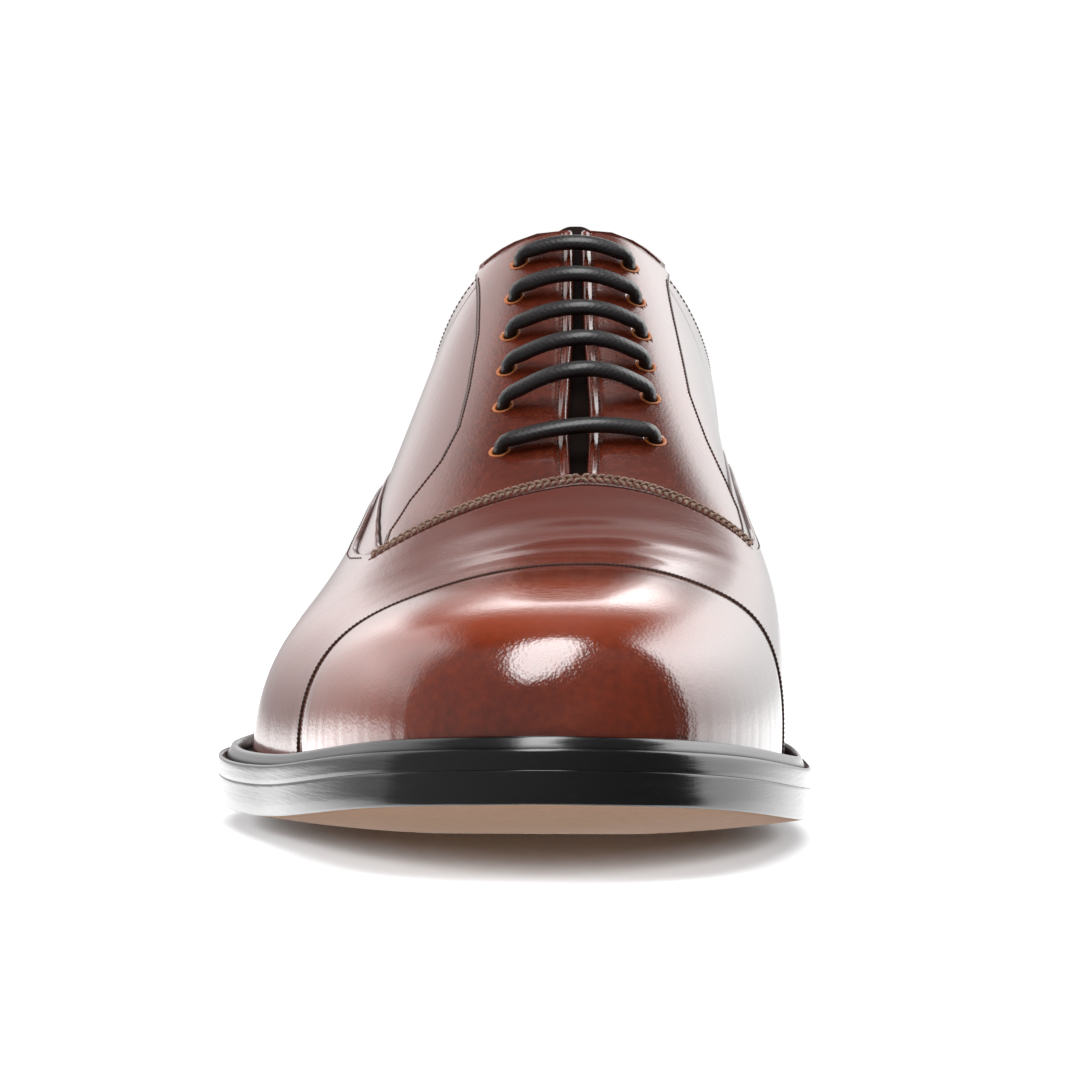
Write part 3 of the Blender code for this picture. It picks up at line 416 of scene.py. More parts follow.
def edges(loop):
    """Shares of the vamp's edge, the facing's edge and the top edge in each column."""
    medial, side = fold(loop)
    along = along_at(side)
    seams = table(SEAM_COLUMNS, SEAMS)
    sides = []
    for name in ("vamp", "facing"):
        inner = np.interp(along, seams["along"], seams[name + "_medial"])
        outer = np.interp(along, seams["along"], seams[name + "_lateral"])
        sides.append(np.where(medial, inner, outer))
    collar = table(TOPLINE_COLUMNS, TOPLINE)
    height = Curve(collar["along"], collar["height"])(along)
    heel = smooth(side - 1.0)
    inner_rise = TOPLINE_MEDIAL_RISE * np.exp(-((along - TOPLINE_RISE_AT) / TOPLINE_RISE_RUN) ** 2) * (1.0 - heel)
    height = height + TOPLINE_HEEL_RISE * heel + np.where(medial, inner_rise, 0.0)
    topline = share_where(loop, lambda p: p[..., 2], height)
    gap = table(GAP_COLUMNS, GAP)
    half = np.interp(along, gap["along"], gap["half"])
    ridge = last(loop, RIDGE)[:, None, 0]
    slit = share_where(loop, lambda p: -np.abs(p[..., 0] - ridge), -half)
    top = np.where(along > SLIT_FROM, slit, np.minimum(slit, topline))
    top = np.where(along < COLLAR_TO, topline, top)
    top = np.where(along >= THROAT - 1e-6, RIDGE, top)
    return sides[0], np.minimum(sides[1], top), top


def arch_rate(loop, share):
    """Millimetres of arch per unit of share."""
    step = 1e-3
    return np.linalg.norm(last(loop, share + step) - last(loop, share - step), axis=-1) / (2.0 * step)


def top_rate(loop, top):
    """Millimetres of arch per unit of share at the top edge, or just under the ridge where that is the edge."""
    return arch_rate(loop, np.minimum(top, UNDER_RIDGE))


instep = edges(side_at(np.array((150.0,))))
print("shares of vamp, facing and slit at the instep:", np.concatenate(instep).round(3))

# %% [markdown]
# ## Edge of the sole
# The welt, outsole and heel all follow the foot of the last at a distance. A plan point is moved outwards
# along the foot's own normal, then down, square to the pitch of the sole. A scaled copy of the foot's outline
# would be wider at the toe than at the waist, so the distance is read from a table instead.

# %% Sole's outline
EXTENSION_COLUMNS = ("side", "lateral", "medial")
EXTENSION = (
    (0.0, 7.4, 7.4), (0.25, 7.6, 7.2), (0.5, 7.9, 6.6), (0.65, 7.8, 6.2), (0.8, 6.2, 5.2), (0.92, 5.0, 4.8),
    (1.0, 4.6, 4.6), (2.0, 4.4, 4.4),
)
REACH = table(EXTENSION_COLUMNS, EXTENSION)
REACH_OUTER = Curve(REACH["side"], REACH["lateral"])
REACH_INNER = Curve(REACH["side"], REACH["medial"])


def extension(side, medial):
    """How far the welt's edge is outside the last's foot."""
    return np.where(medial, REACH_INNER(side), REACH_OUTER(side))


def outline(side, medial, out):
    """Plan point at a distance outside the last's foot: the foot plus out times its plan normal."""
    loop = unfold(side, medial)
    step = 1e-4
    foot = last(loop, 0.0)
    ahead = last(np.clip(loop + step, 0.0, LOOP), 0.0) - last(np.clip(loop - step, 0.0, LOOP), 0.0)
    normal = np.stack((ahead[..., 1], -ahead[..., 0]), -1)
    normal = normal / np.maximum(np.linalg.norm(normal, axis=-1, keepdims=True), 1e-12)
    normal = np.where((side < 1e-3)[..., None], np.array((0.0, 1.0)), normal)
    normal = np.where((side > 0.5 * LOOP - 1e-3)[..., None], np.array((0.0, -1.0)), normal)
    return foot[..., :2] + normal * np.asarray(out, float)[..., None]


def under_welt(plan, depth):
    """Point at a depth under the welt's top, square to the sole."""
    x, along = plan[..., 0], plan[..., 1]
    angle = pitch(np.interp(along, PROBE_ALONG, PROBE))
    return np.stack((x, along + depth * np.sin(angle), welt_top(x, along) - depth * np.cos(angle)), -1)


RIM_SIDES = np.array((
    0.0, 0.05, 0.1, 0.15, 0.2, 0.26, 0.32, 0.38, 0.44, 0.5, 0.5345, 0.5636, 0.6, 0.6305, 0.67, 0.72, 0.77,
    0.82, 0.87, 0.92, 0.96, 1.0, 1.12, 1.24, 1.36, 1.48, 1.6, 1.72, 1.84, 1.92, 2.0,
))
RIMS = [outline(RIM_SIDES, medial, extension(RIM_SIDES, medial)) for medial in (False, True)]
RIM = np.concatenate([under_welt(rim, SOLE_HEIGHT) for rim in RIMS])
ORIGIN_X = 0.5 * (RIM[:, 0].min() + RIM[:, 0].max())
ORIGIN_ALONG = 0.5 * (RIM[:, 1].min() + RIM[:, 1].max())


def to_part(points):
    """The shoe's own places, in millimetres, to the part's frame in metres."""
    points = np.asarray(points, float)
    return np.stack((points[..., 0] - ORIGIN_X, ORIGIN_ALONG - points[..., 1], points[..., 2]), -1) * MM


gap_to_cad = (to_part(RIM).max(0) - np.array(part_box("outsole")[1]))[:2]
print("outline against the solid, mm:", (gap_to_cad / MM).round(2))

# %% [markdown]
# ## Shader maths as expressions
# A finish is a small sum of patterns: a slow patina, a fine mottle, pores. Written as arithmetic it reads like
# a recipe, so one class wraps a node's output and turns each operator into a Math node. The same nodes could be
# placed by hand in the shader editor, but a sum is easier to read and to change than a web of links.


# %% Wires and finishes
def put(tree, socket, value):
    """Links a wire to a socket, or sets the socket's own value."""
    if isinstance(value, Wire):
        tree.links.new(value.socket, socket)
    elif socket.type == "RGBA" and len(value) == 3:
        socket.default_value = (*value, 1.0)
    else:
        socket.default_value = value


class Wire:
    """An output of a material's node; arithmetic on it adds Math nodes to the same tree."""

    def __init__(self, tree, socket):
        self.tree = tree
        self.socket = socket

    def math(self, operation, *others):
        node = self.tree.nodes.new("ShaderNodeMath")
        node.operation = operation
        for socket, value in zip(node.inputs, others):
            put(self.tree, socket, value)
        return Wire(self.tree, node.outputs[0])

    def __add__(self, other):
        return self.math("ADD", self, other)

    def __sub__(self, other):
        return self.math("SUBTRACT", self, other)

    def __rsub__(self, other):
        return self.math("SUBTRACT", other, self)

    def __mul__(self, other):
        return self.math("MULTIPLY", self, other)

    def __truediv__(self, other):
        return self.math("DIVIDE", self, other)

    def __pow__(self, other):
        return self.math("POWER", self, other)

    __radd__ = __add__
    __rmul__ = __mul__

    def clamp(self):
        floor = self.math("MAXIMUM", self, 0.0)
        return floor.math("MINIMUM", floor, 1.0)

    def ramp(self, start, rate):
        return ((self - start) * rate).clamp()

    def log(self):
        floor = self.math("MAXIMUM", self, 0.01)
        return floor.math("LOGARITHM", floor, float(np.e))

    def wave(self):
        return self.math("SINE", self)

    def hill(self, centre, width):
        away = (self - centre) / width
        fall = away * away * -1.0
        return fall.math("EXPONENT", fall)


class Recipe:
    """Adds nodes to one tree: a node's settings first, then the values or links of its sockets."""

    def __init__(self, tree):
        self.tree = tree

    def node(self, kind, settings=(), sockets=(), output=0):
        node = self.tree.nodes.new("ShaderNode" + kind)
        for key, value in dict(settings).items():
            setattr(node, key, value)
        for key, value in dict(sockets).items():
            put(self.tree, node.inputs[key], value)
        return Wire(self.tree, node.outputs[output])

    def axes(self, vector):
        split = self.node("SeparateXYZ", (), {"Vector": vector}).socket.node
        return [Wire(self.tree, socket) for socket in split.outputs]

    def rise(self, value, low, high):
        ends = {"Value": value, "From Min": low, "From Max": high}
        return self.node("MapRange", {"interpolation_type": "SMOOTHSTEP"}, ends)


class Finish(Recipe):
    """A material: one Principled shader, its constants, and the nodes that feed what varies."""

    def __init__(self, name, constants):
        self.material = bpy.data.materials.new(name)
        self.material.use_nodes = True
        super().__init__(self.material.node_tree)
        self.shader = self.tree.nodes["Principled BSDF"]
        for socket, value in constants.items():
            put(self.tree, self.shader.inputs[socket], value)
        self.place = self.node("TexCoord", output="Object")

    def noise(self, scale, detail=3.0, rough=0.55, stretch=(1.0, 1.0, 1.0)):
        place = self.node("Mapping", (), {"Vector": self.place, "Scale": stretch})
        return self.node("TexNoise", (), {"Vector": place, "Scale": scale, "Detail": detail, "Roughness": rough})

    def blend(self, share, first, second):
        return self.node("Mix", {"data_type": "RGBA"}, {0: share, 6: first, 7: second}, output=2)

    def painted_seam_shade(self):
        return self.node("Attribute", {"attribute_name": "seam"}, output="Fac")

    def feed(self, colour, roughness, height=None, depth=0.0):
        put(self.tree, self.shader.inputs["Base Color"], colour)
        put(self.tree, self.shader.inputs["Roughness"], roughness)
        if height is not None:
            bump = self.node("Bump", (), {"Strength": 1.0, "Distance": depth, "Height": height})
            put(self.tree, self.shader.inputs["Normal"], bump)
        return self.material

    def cover(self, share, colour):
        matt = {"Base Color": colour, "Roughness": 1.0, "Specular IOR Level": 0.0}
        shaders = {0: share, 1: Wire(self.tree, self.shader.outputs[0]), 2: self.node("BsdfPrincipled", (), matt)}
        put(self.tree, self.tree.nodes["Material Output"].inputs["Surface"], self.node("MixShader", (), shaders))


print("wires ready")

# %% [markdown]
# ## Polished leather
# The shoe is calfskin, dyed chestnut and waxed to a gloss; along its seams and steps, painted shade makes it dark and
# dull. Patina varies over centimetres, mottle over millimetres, and the pores are a fraction of one. Pores and mottle
# also lift the surface a few hundredths of a millimetre, which breaks up the edges of the reflections. The wax is the
# coat. The toe is warmer; painted light makes it lighter along its crest and rosier on its outer side, and painted
# shade keeps its inner side darker. A photograph could be laid on as a texture, but it would carry its own light with
# it, so the tones are mixed from places on the shoe.


# %% Upper leathers
SHOE_MIDDLE = 0.009
TOE_FROM = -0.035
# painted light: the toe's crest above this height and the toe's outer flank; painted shade: the inner flank
CREST_FROM = -0.100
CREST_HEIGHT = 0.036
ROSY_FROM = -0.090
OUTER_FLANK = -1.0 / 60.0
INNER_FLANK = 1.1 / 60.0
FLANK_RATE = 60.0
ROSY_PAINTED_LIGHT = (0.30, 0.060, 0.030)
# painted shade: share and colour of the dark matt cover laid on seams, edge steps and ditches
SEAM_SHADE_SHARE = 0.93
SEAM_PAINTED_SHADE = (0.012, 0.006, 0.005)
GRAIN_DEPTH = 0.00006


def polished(name, deep, warm, toe, crest_light_tone, gloss, matt):
    """Leather between a deep and a warm tone, warmer at the toe, with painted light on its crest and outer flank,
    painted shade on its inner flank, and painted shade, darkest and dull, where the seam mark is 1.
    """
    finish = Finish(name, {"Coat Weight": gloss, "Coat Roughness": 0.10, "IOR": 1.5})
    patina = finish.noise(38.0, 4.0)
    mottle = finish.noise(620.0, 3.0, 0.6)
    pores = finish.node("TexVoronoi", {"feature": "F1"}, {"Vector": finish.place, "Scale": 1700.0})
    across, ahead, height = finish.axes(finish.place)
    across = across - SHOE_MIDDLE
    front = ahead.ramp(TOE_FROM, -14.0)
    # painted shade keeps the inner flank in the darker plain tones; painted light turns the outer flank rosy
    flank = across.ramp(INNER_FLANK, FLANK_RATE)
    outer = across.ramp(OUTER_FLANK, -FLANK_RATE) * ahead.ramp(ROSY_FROM, -FLANK_RATE)
    # painted light: lighter and warmer along the toe's crest
    crest = (front * (height - CREST_HEIGHT) * 140.0 * ahead.ramp(CREST_FROM, -FLANK_RATE)).clamp()
    tone = (0.5 + 1.2 * (patina - 0.5) + 1.2 * (mottle - 0.5)).clamp()
    plain = finish.blend(tone, deep, warm)
    tip = finish.blend(crest, finish.blend(tone, warm, toe), crest_light_tone)
    tip = finish.blend(0.8 * outer, finish.blend(flank, tip, plain), ROSY_PAINTED_LIGHT)
    roughness = matt + 0.10 * (patina - 0.5) + 0.08 * (mottle - 0.5)
    # painted shade: darkest and dull where the seam mark is 1
    finish.cover(SEAM_SHADE_SHARE * finish.painted_seam_shade(), SEAM_PAINTED_SHADE)
    return finish.feed(finish.blend(front, plain, tip), roughness, 0.6 * mottle + 0.4 * pores, GRAIN_DEPTH)


# deep, warm and toe tones, then the painted light on the toe's crest
BROWNS = ((0.120, 0.017, 0.007), (0.120, 0.015, 0.006), (0.270, 0.032, 0.004), (0.360, 0.046, 0.004))
REDS = ((0.060, 0.009, 0.005), (0.185, 0.026, 0.007), (0.300, 0.045, 0.010), (0.300, 0.045, 0.010))
CHESTNUT = polished("polished_chestnut_leather", *BROWNS, 0.6, 0.22)
MIRROR = polished("mirror_polished_toe_leather", *BROWNS, 0.7, 0.14)
RUSSET = polished("polished_russet_facing_leather", *REDS, 0.6, 0.20)


def plain_leather(name, pale, brown, roughness, scale, shine=0.5):
    """Undyed leather: a fibre noise between two tones, matt."""
    finish = Finish(name, {"IOR": 1.45, "Specular IOR Level": shine})
    fibre = finish.noise(scale, 5.0, 0.65)
    cloud = finish.noise(scale * 0.06, 3.0)
    tone = (0.5 + 1.1 * (fibre - 0.5) + 1.2 * (cloud - 0.5)).clamp()
    colour = finish.blend(tone, brown, pale)
    return finish.feed(colour, roughness + 0.15 * (cloud - 0.5), fibre, 0.00008)


# painted shade: the tongue is near black with almost no shine, as the shade in the slit between the facings
TONGUE_SHADE_DARK = plain_leather("tongue_leather_in_painted_shade", (0.014, 0.007, 0.006), (0.005, 0.003, 0.003), 0.8, 600.0, 0.05)
LINING = plain_leather("tan_lining_leather", (0.50, 0.30, 0.17), (0.36, 0.20, 0.10), 0.6, 700.0)
SOLE_TAN = plain_leather("tan_sole_leather", (0.76, 0.40, 0.21), (0.58, 0.29, 0.145), 0.6, 500.0, 0.1)
RAW_EDGE = plain_leather("raw_orange_edge", (0.55, 0.17, 0.035), (0.32, 0.08, 0.02), 0.5, 1500.0)
SOCK = plain_leather("insole_sock_leather", (0.46, 0.29, 0.17), (0.34, 0.20, 0.11), 0.6, 600.0)
print("leathers:", [m.name for m in (CHESTNUT, MIRROR, RUSSET, TONGUE_SHADE_DARK, LINING, SOLE_TAN, RAW_EDGE, SOCK)])

# %% [markdown]
# ## Edge dressing, rubber, cord and thread
# The edges of welt, sole and heel are inked black and burnished with wax: a dark satin with fine scratches
# that run along the edge. Lace is a waxed braid, so its bump follows the cord's own length and turn, which its
# flat map holds. The throat's thread is brown, a shade lighter than the leather, and the other seams are dark.


# %% Sole, lace and thread finishes
# painted reflection: the black edge turns grey at the ball's sides, where it faces the side walls
OUTER_SHEEN_FROM = -0.028
INNER_SHEEN_FROM = 0.042
SIDE_SHEEN_GREY = (0.20, 0.19, 0.19)
# painted shade: colour of the dark matt cover in the welt's groove and at the upper's foot
GROOVE_PAINTED_SHADE = (0.006, 0.005, 0.005)
BRAID_PITCH = 5.2
BRAID_TURN = 16.0 * np.pi


def dressed_edge(name, black, worn, roughness, gloss):
    """Inked edge: flat noise gives scratches, fine noise specks; painted reflection turns the ink grey at the ball's
    sides, and painted shade darkens it where the seam mark is 1.
    """
    finish = Finish(name, {"Coat Weight": gloss, "Coat Roughness": 0.25, "IOR": 1.5})
    scratch = finish.noise(90.0, 4.0, 0.7, (1.0, 1.0, 22.0))
    speck = finish.noise(900.0, 2.0, 0.5)
    across = finish.axes(finish.place)[0]
    # painted reflection: grey on the ball's outer and inner sides
    side_sheen = across.ramp(OUTER_SHEEN_FROM, -38.0) + across.ramp(INNER_SHEEN_FROM, 60.0)
    wear = ((scratch - 0.52) * 3.0 + (speck - 0.62) * 4.0).clamp()
    grey = side_sheen * (0.75 + 0.5 * (scratch - 0.5))
    colour = finish.blend(grey, finish.blend(wear, black, worn), SIDE_SHEEN_GREY)
    # painted shade where the seam mark is 1: a dark matt cover
    finish.cover(SEAM_SHADE_SHARE * finish.painted_seam_shade(), GROOVE_PAINTED_SHADE)
    return finish.feed(colour, roughness + 0.16 * (scratch - 0.5), scratch + 0.3 * speck, 0.00003)


EDGE_BLACK = dressed_edge("black_dressed_edge", (0.003, 0.0025, 0.003), (0.012, 0.010, 0.011), 0.18, 0.10)
HEEL_BLACK = dressed_edge("black_stacked_heel", (0.012, 0.009, 0.009), (0.04, 0.03, 0.026), 0.38, 0.3)


def rubber(name, tone, speckle):
    """Matt rubber with a moulded speckle."""
    finish = Finish(name, {"IOR": 1.5})
    grain = finish.noise(1100.0, 2.0)
    return finish.feed(finish.blend(grain, tone, speckle), 0.7 + 0.2 * (grain - 0.5), grain, 0.0001)


def braid(name, dark, light):
    """Braided cord: two crossing waves along the cord and round it."""
    finish = Finish(name, {"Coat Weight": 0.3, "Coat Roughness": 0.2, "Specular IOR Level": 0.3})
    run, turn, _ = finish.axes(finish.node("TexCoord", output="UV"))
    over = (run * BRAID_PITCH + turn * BRAID_TURN).wave()
    under = (run * BRAID_PITCH - turn * BRAID_TURN).wave()
    weave = 0.5 + 0.25 * over + 0.25 * under
    fuzz = finish.noise(2500.0, 2.0)
    colour = finish.blend((0.7 * weave + 0.6 * (fuzz - 0.5)).clamp(), dark, light)
    return finish.feed(colour, 0.45 + 0.2 * (fuzz - 0.5), weave + 0.3 * fuzz, 0.00005)


def thread(name, dark, light):
    """Waxed sewing thread, lightly varied from stitch to stitch."""
    finish = Finish(name, {"Specular IOR Level": 0.15})
    shade = finish.noise(600.0, 2.0)
    ply = finish.noise(4000.0, 1.0)
    colour = finish.blend((1.6 * shade - 0.3).clamp(), dark, light)
    return finish.feed(colour, 0.5 + 0.2 * (ply - 0.5), ply, 0.00003)


TOP_PIECE = rubber("black_top_piece_rubber", (0.012, 0.012, 0.012), (0.03, 0.03, 0.03))
LACE = braid("waxed_dark_lace", (0.004, 0.003, 0.003), (0.012, 0.008, 0.009))
THREAD = thread("brown_thread", (0.10, 0.045, 0.030), (0.36, 0.24, 0.18))
THREAD_DARK = thread("dark_thread", (0.02, 0.010, 0.008), (0.07, 0.035, 0.025))
print("finishes:", len(bpy.data.materials))

# %% [markdown]
# ## Sewing grids together
# Every panel is a few grids of points that share their borders. They are joined into one mesh, welded where
# they meet, turned to face outwards and smoothed. Each vertex may carry a seam mark, the share of painted shade that
# its finish lays there, and each grid a finish of its own and a flat map. The result is closed, so that a Boolean can
# punch holes in it.

# %% Mesh helper
TRIANGLES = {}
WELD = 2e-6
FINEST = 1e-7


def patch(grid, finish=0, seam=0.0, flat=None):
    """A grid of points with the number of its finish, its seam marks for painted shade and its flat map."""
    grid = np.asarray(grid, float)
    return grid, finish, np.broadcast_to(np.asarray(seam, float), grid.shape[:2]), flat


def quads_of(index):
    """Quads that join the neighbours in a grid of point numbers."""
    corners = (index[..., :-1, :-1], index[..., 1:, :-1], index[..., 1:, 1:], index[..., :-1, 1:])
    return np.stack(corners, -1).reshape(-1, 4)


def close_up(mesh, weld):
    """Merges points closer than weld, turns the faces outwards and counts the edges that stay open."""
    shape = bmesh.new()
    shape.from_mesh(mesh)
    bmesh.ops.remove_doubles(shape, verts=shape.verts, dist=weld)
    bmesh.ops.dissolve_degenerate(shape, dist=FINEST, edges=shape.edges)
    bmesh.ops.recalc_face_normals(shape, faces=shape.faces)
    if shape.calc_volume(signed=True) < 0.0:
        bmesh.ops.reverse_faces(shape, faces=shape.faces)
    open_edges = sum(not edge.is_manifold for edge in shape.edges)
    shape.to_mesh(mesh)
    shape.free()
    return open_edges


def sew(name, patches, finishes, slot, *nodes):
    """One smooth mesh from grids, welded where they meet; marks and flat map go to its points and corners."""
    points, faces, kinds, marks, maps = [], [], [], [], []
    start = 0
    for grid, finish, seam, flat in patches:
        rows, columns = grid.shape[:2]
        quads = quads_of(np.arange(rows * columns).reshape(rows, columns) + start)
        points.append(grid.reshape(-1, 3))
        faces.append(quads)
        kinds.append(np.full(len(quads), finish))
        marks.append(seam.reshape(-1))
        maps.append(np.zeros((rows * columns, 2)) if flat is None else flat.reshape(-1, 2))
        start += rows * columns
    faces = np.concatenate(faces)
    mesh = bpy.data.meshes.new(name)
    mesh.from_pydata(to_part(np.concatenate(points)), [], faces)
    mesh.polygons.foreach_set("material_index", np.concatenate(kinds).astype(np.int32))
    seam = mesh.attributes.new("seam", "FLOAT", "POINT")
    seam.data.foreach_set("value", np.concatenate(marks).astype(np.float32))
    flat = mesh.uv_layers.new(name="flat")
    flat.data.foreach_set("uv", np.concatenate(maps)[faces.reshape(-1)].astype(np.float32).reshape(-1))
    return finish_piece(name, mesh, finishes, nodes, close_up(mesh, WELD))


def count_triangles(piece):
    """A face of n corners is n less 2 triangles."""
    TRIANGLES[piece.name] = sum(len(polygon.vertices) - 2 for polygon in piece.data.polygons)
    return TRIANGLES[piece.name]


def finish_piece(name, mesh, finishes, nodes, open_edges):
    """Puts a mesh in the scene with its finishes, and hides the solids that it stands for."""
    mesh.shade_smooth()
    for finish in finishes:
        mesh.materials.append(finish)
    piece = bpy.data.objects.new(name, mesh)
    scene.collection.objects.link(piece)
    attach(piece, "root")
    if nodes:
        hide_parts(*nodes)
    print(name, "triangles", count_triangles(piece), "open edges", open_edges)
    return piece


# %% [markdown]
# ## Creases and pleats
# Nothing on a worn shoe is perfectly even. The vamp has a few soft cross troughs where the toes bend, and at
# the toe's foot the leather was pulled over the last in small pleats that fade upwards. They are low hills and
# valleys added to the thickness of the leather, each placed in the shoe's own millimetres. A noise texture would
# scatter them anywhere, and a real crease has its own place.

# %% Relief of the leather
CREASES = (
    # along, reach across, middle across, depth, width, bow
    (222.0, 20.0, 2.0, 0.12, 2.6, 0.010),
    (212.0, 24.0, 10.0, 0.16, 3.0, 0.008),
    (201.0, 22.0, 4.0, 0.14, 3.4, 0.006),
    (192.0, 12.0, 9.0, 0.10, 2.4, 0.004),
)
PLEAT_HEIGHT = 9.0
PLEAT_FROM = 196.0
PLEAT_FADE = 40.0
PLEAT_RUN = 260.0
# length, height and phase of each wave
PLEATS = ((5.3, 0.028, 0.4), (3.4, 0.018, 1.9), (8.1, 0.026, 3.0))


def relief(point, share, loop):
    """Thickness added to the leather: soft troughs across the vamp, pleats round the toe's foot."""
    x, along = point[..., 0], point[..., 1]
    value = np.zeros_like(x)
    for place, reach, middle, depth, width, bow in CREASES:
        line = along - place - bow * (x - middle) ** 2
        across = np.exp(-((x - middle) / reach) ** 2)
        trough = np.exp(-(line / width) ** 2) - 0.6 * np.exp(-((line - 2.0 * width) / width) ** 2)
        value = value - depth * across * trough
    height = point[..., 2] - welt_top(x, along)
    medial, side = fold(loop)
    run = PLEAT_RUN * np.where(medial, -side, side)
    low = np.exp(-(height / PLEAT_HEIGHT) ** 2) * smooth((along - PLEAT_FROM) / PLEAT_FADE) * smooth(height / 2.5)
    low = low * smooth((RIDGE - share) / 0.12)
    for length, size, phase in PLEATS:
        value = value + size * low * np.sin(2.0 * np.pi * run / length + phase)
    return value * smooth(share / 0.02)


print("creases:", len(CREASES), "pleat waves:", len(PLEATS))

# %% [markdown]
# ## Vamp, galosh and quarters
# The vamp covers the toes and runs back along the foot of the shoe as the galosh, over the thinner quarters.
# All of it is one wall here, as on the solid: the grid's rows follow the galosh's edge and its columns follow
# the throat, so the leather's step down to the quarter is a rounded lip a few rows wide. A narrow strip backs
# the galosh's edge on the quarter. Inside, the same wall is lining, and the two meet in a rolled collar.

# %% Columns of the upper
VAMP_STEP = 1.5
WALL_THICK = 2.0
LIP_INSET = np.array((1.0, 0.5, 0.22, 0.07, 0.0))
LIP_DROP = np.array((0.0, 0.06, 0.2, 0.5, 1.0))
RIM_INSET = np.array((0.7, 0.28, 0.06, 0.0, 0.06, 0.28, 0.7))
RIM_OFFSET = np.array((0.0, -0.12, -0.45, -1.0, -1.55, -1.88, -2.0))
THROAT_SIDE = float(side_at(THROAT))
SIDE_RATE = 2.0 * (LAST_TIP - HEEL_CENTRE) * THROAT_SIDE
CAP_SIDE = float(side_at(CAP_SEAM))
CAP_RATE = 2.0 * (LAST_TIP - HEEL_CENTRE) * CAP_SIDE
DITCH = np.array((-0.3, 0.0, 0.2, 0.4, 0.6, 0.85, 1.2, 1.7))
DITCH_WIDTH = 0.4
CAP_DITCH_AT = 0.35
CAP_DITCH_DEPTH = 0.35
THROAT_DITCH_AT = 4.1
THROAT_DITCH_DEPTH = 0.20
THROAT_COLUMNS = THROAT_DITCH_AT + np.array((0.7, 0.3, 0.0, -0.3, -0.7, -1.5, -2.3))
FRONT_COLUMNS = np.concatenate((
    np.linspace(0.0, CAP_SIDE - 1.0 / CAP_RATE, 60), CAP_SIDE + DITCH / CAP_RATE,
    np.linspace(CAP_SIDE + 2.8 / CAP_RATE, THROAT_SIDE - 5.4 / SIDE_RATE, 40),
    THROAT_SIDE - THROAT_COLUMNS / SIDE_RATE, THROAT_SIDE - LIP_INSET / SIDE_RATE,
))
FRONT_DROP = np.concatenate((np.zeros(len(FRONT_COLUMNS) - len(LIP_DROP)), LIP_DROP))
THROAT_DITCH = np.exp(-(((THROAT_SIDE - FRONT_COLUMNS) * SIDE_RATE - THROAT_DITCH_AT) / DITCH_WIDTH) ** 2)
CAP_DITCH = np.exp(-(((FRONT_COLUMNS - CAP_SIDE) * CAP_RATE - CAP_DITCH_AT) / DITCH_WIDTH) ** 2)
BACK_COLUMNS = np.concatenate((
    [THROAT_SIDE], side_at(np.concatenate(([THROAT - 0.4], np.linspace(THROAT - 1.4, HEEL_CENTRE + 0.9, 118)))),
    np.linspace(1.0, 2.0, 56),
))
print("columns:", len(FRONT_COLUMNS) + len(BACK_COLUMNS))

# %% Rows of the upper
STRIP_COLUMNS = ("along", "width")
STRIP = ((45.0, 3.0), (148.0, 3.2), (160.0, 5.8), (167.0, 6.4), (172.0, 5.4), (178.0, 3.8), (183.0, 2.5))
STRIP_HEIGHT = 0.5
STRIP_ACROSS = np.array((0.09, 0.42, 0.74, 0.88, 0.96, 1.0, 1.0))
STRIP_PAST = np.array((0.0, 0.0, 0.0, 0.0, 0.0, 0.0, 0.35))
STRIP_RISE = np.array((1.0, 1.0, 0.97, 0.85, 0.5, -0.3, -0.3))
STRIP_END = 0.75
ROLL_RUN = 3.0
RAISED_FROM = 0.4
LINING_ROWS = np.linspace(1.0, 0.0, 28)[None, :]
LOW_ROWS = np.linspace(0.0, 1.0, 24)
HIGH_ROWS = np.linspace(0.0, 1.0, 32)
WALL_DROP = np.concatenate((0.0 * LOW_ROWS, LIP_DROP[1:], np.ones(len(STRIP_RISE) + len(HIGH_ROWS))))
# painted shade on the rows of the galosh's lip and along the backing strip's edge
WALL_SHADE_MARK = np.concatenate((
    0.0 * LOW_ROWS, (0.0, 0.0, 0.35, 1.0), (0.0, 0.0, 0.0, 0.0, 0.3, 1.0, 1.0), 0.0 * HIGH_ROWS,
))


def rolled(loop, top):
    """Shares that the rolled edge turns through, one per point of its profile; none at the throat's end."""
    along = along_at(fold(loop)[1])
    return RIM_INSET[None, :] * (smooth((THROAT - along) / ROLL_RUN) / top_rate(loop, top))[:, None]


def wall_rows(loop):
    """Shares and offsets of the wall's rows behind the throat: galosh, lip, backing strip, quarter."""
    vamp, _, top = edges(loop)
    along = along_at(fold(loop)[1])
    per_share = arch_rate(loop, vamp)
    strip = (STRIP_HEIGHT * smooth((THROAT - along - 1.0) / 6.0))[:, None]
    widths = table(STRIP_COLUMNS, STRIP)
    width = np.interp(along, widths["along"], widths["width"])
    low = LOW_ROWS[None, :] * (vamp - LIP_INSET[0] / per_share)[:, None]
    lip = vamp[:, None] - LIP_INSET[None, 1:] / per_share[:, None]
    over = vamp[:, None] + (STRIP_ACROSS[None, :] * width[:, None] + STRIP_PAST[None, :]) / per_share[:, None]
    first = vamp + (width + STRIP_END) / per_share
    high = first[:, None] + (top - rolled(loop, top)[:, 0] - first)[:, None] * HIGH_ROWS[None, :]
    offset = np.concatenate((
        np.full(low.shape, VAMP_STEP), VAMP_STEP - LIP_DROP[None, 1:] * (VAMP_STEP - strip),
        strip * STRIP_RISE[None, :], np.zeros(high.shape),
    ), axis=1)
    return np.concatenate((low, lip, over, high), axis=1), offset


print("rows:", len(WALL_DROP))


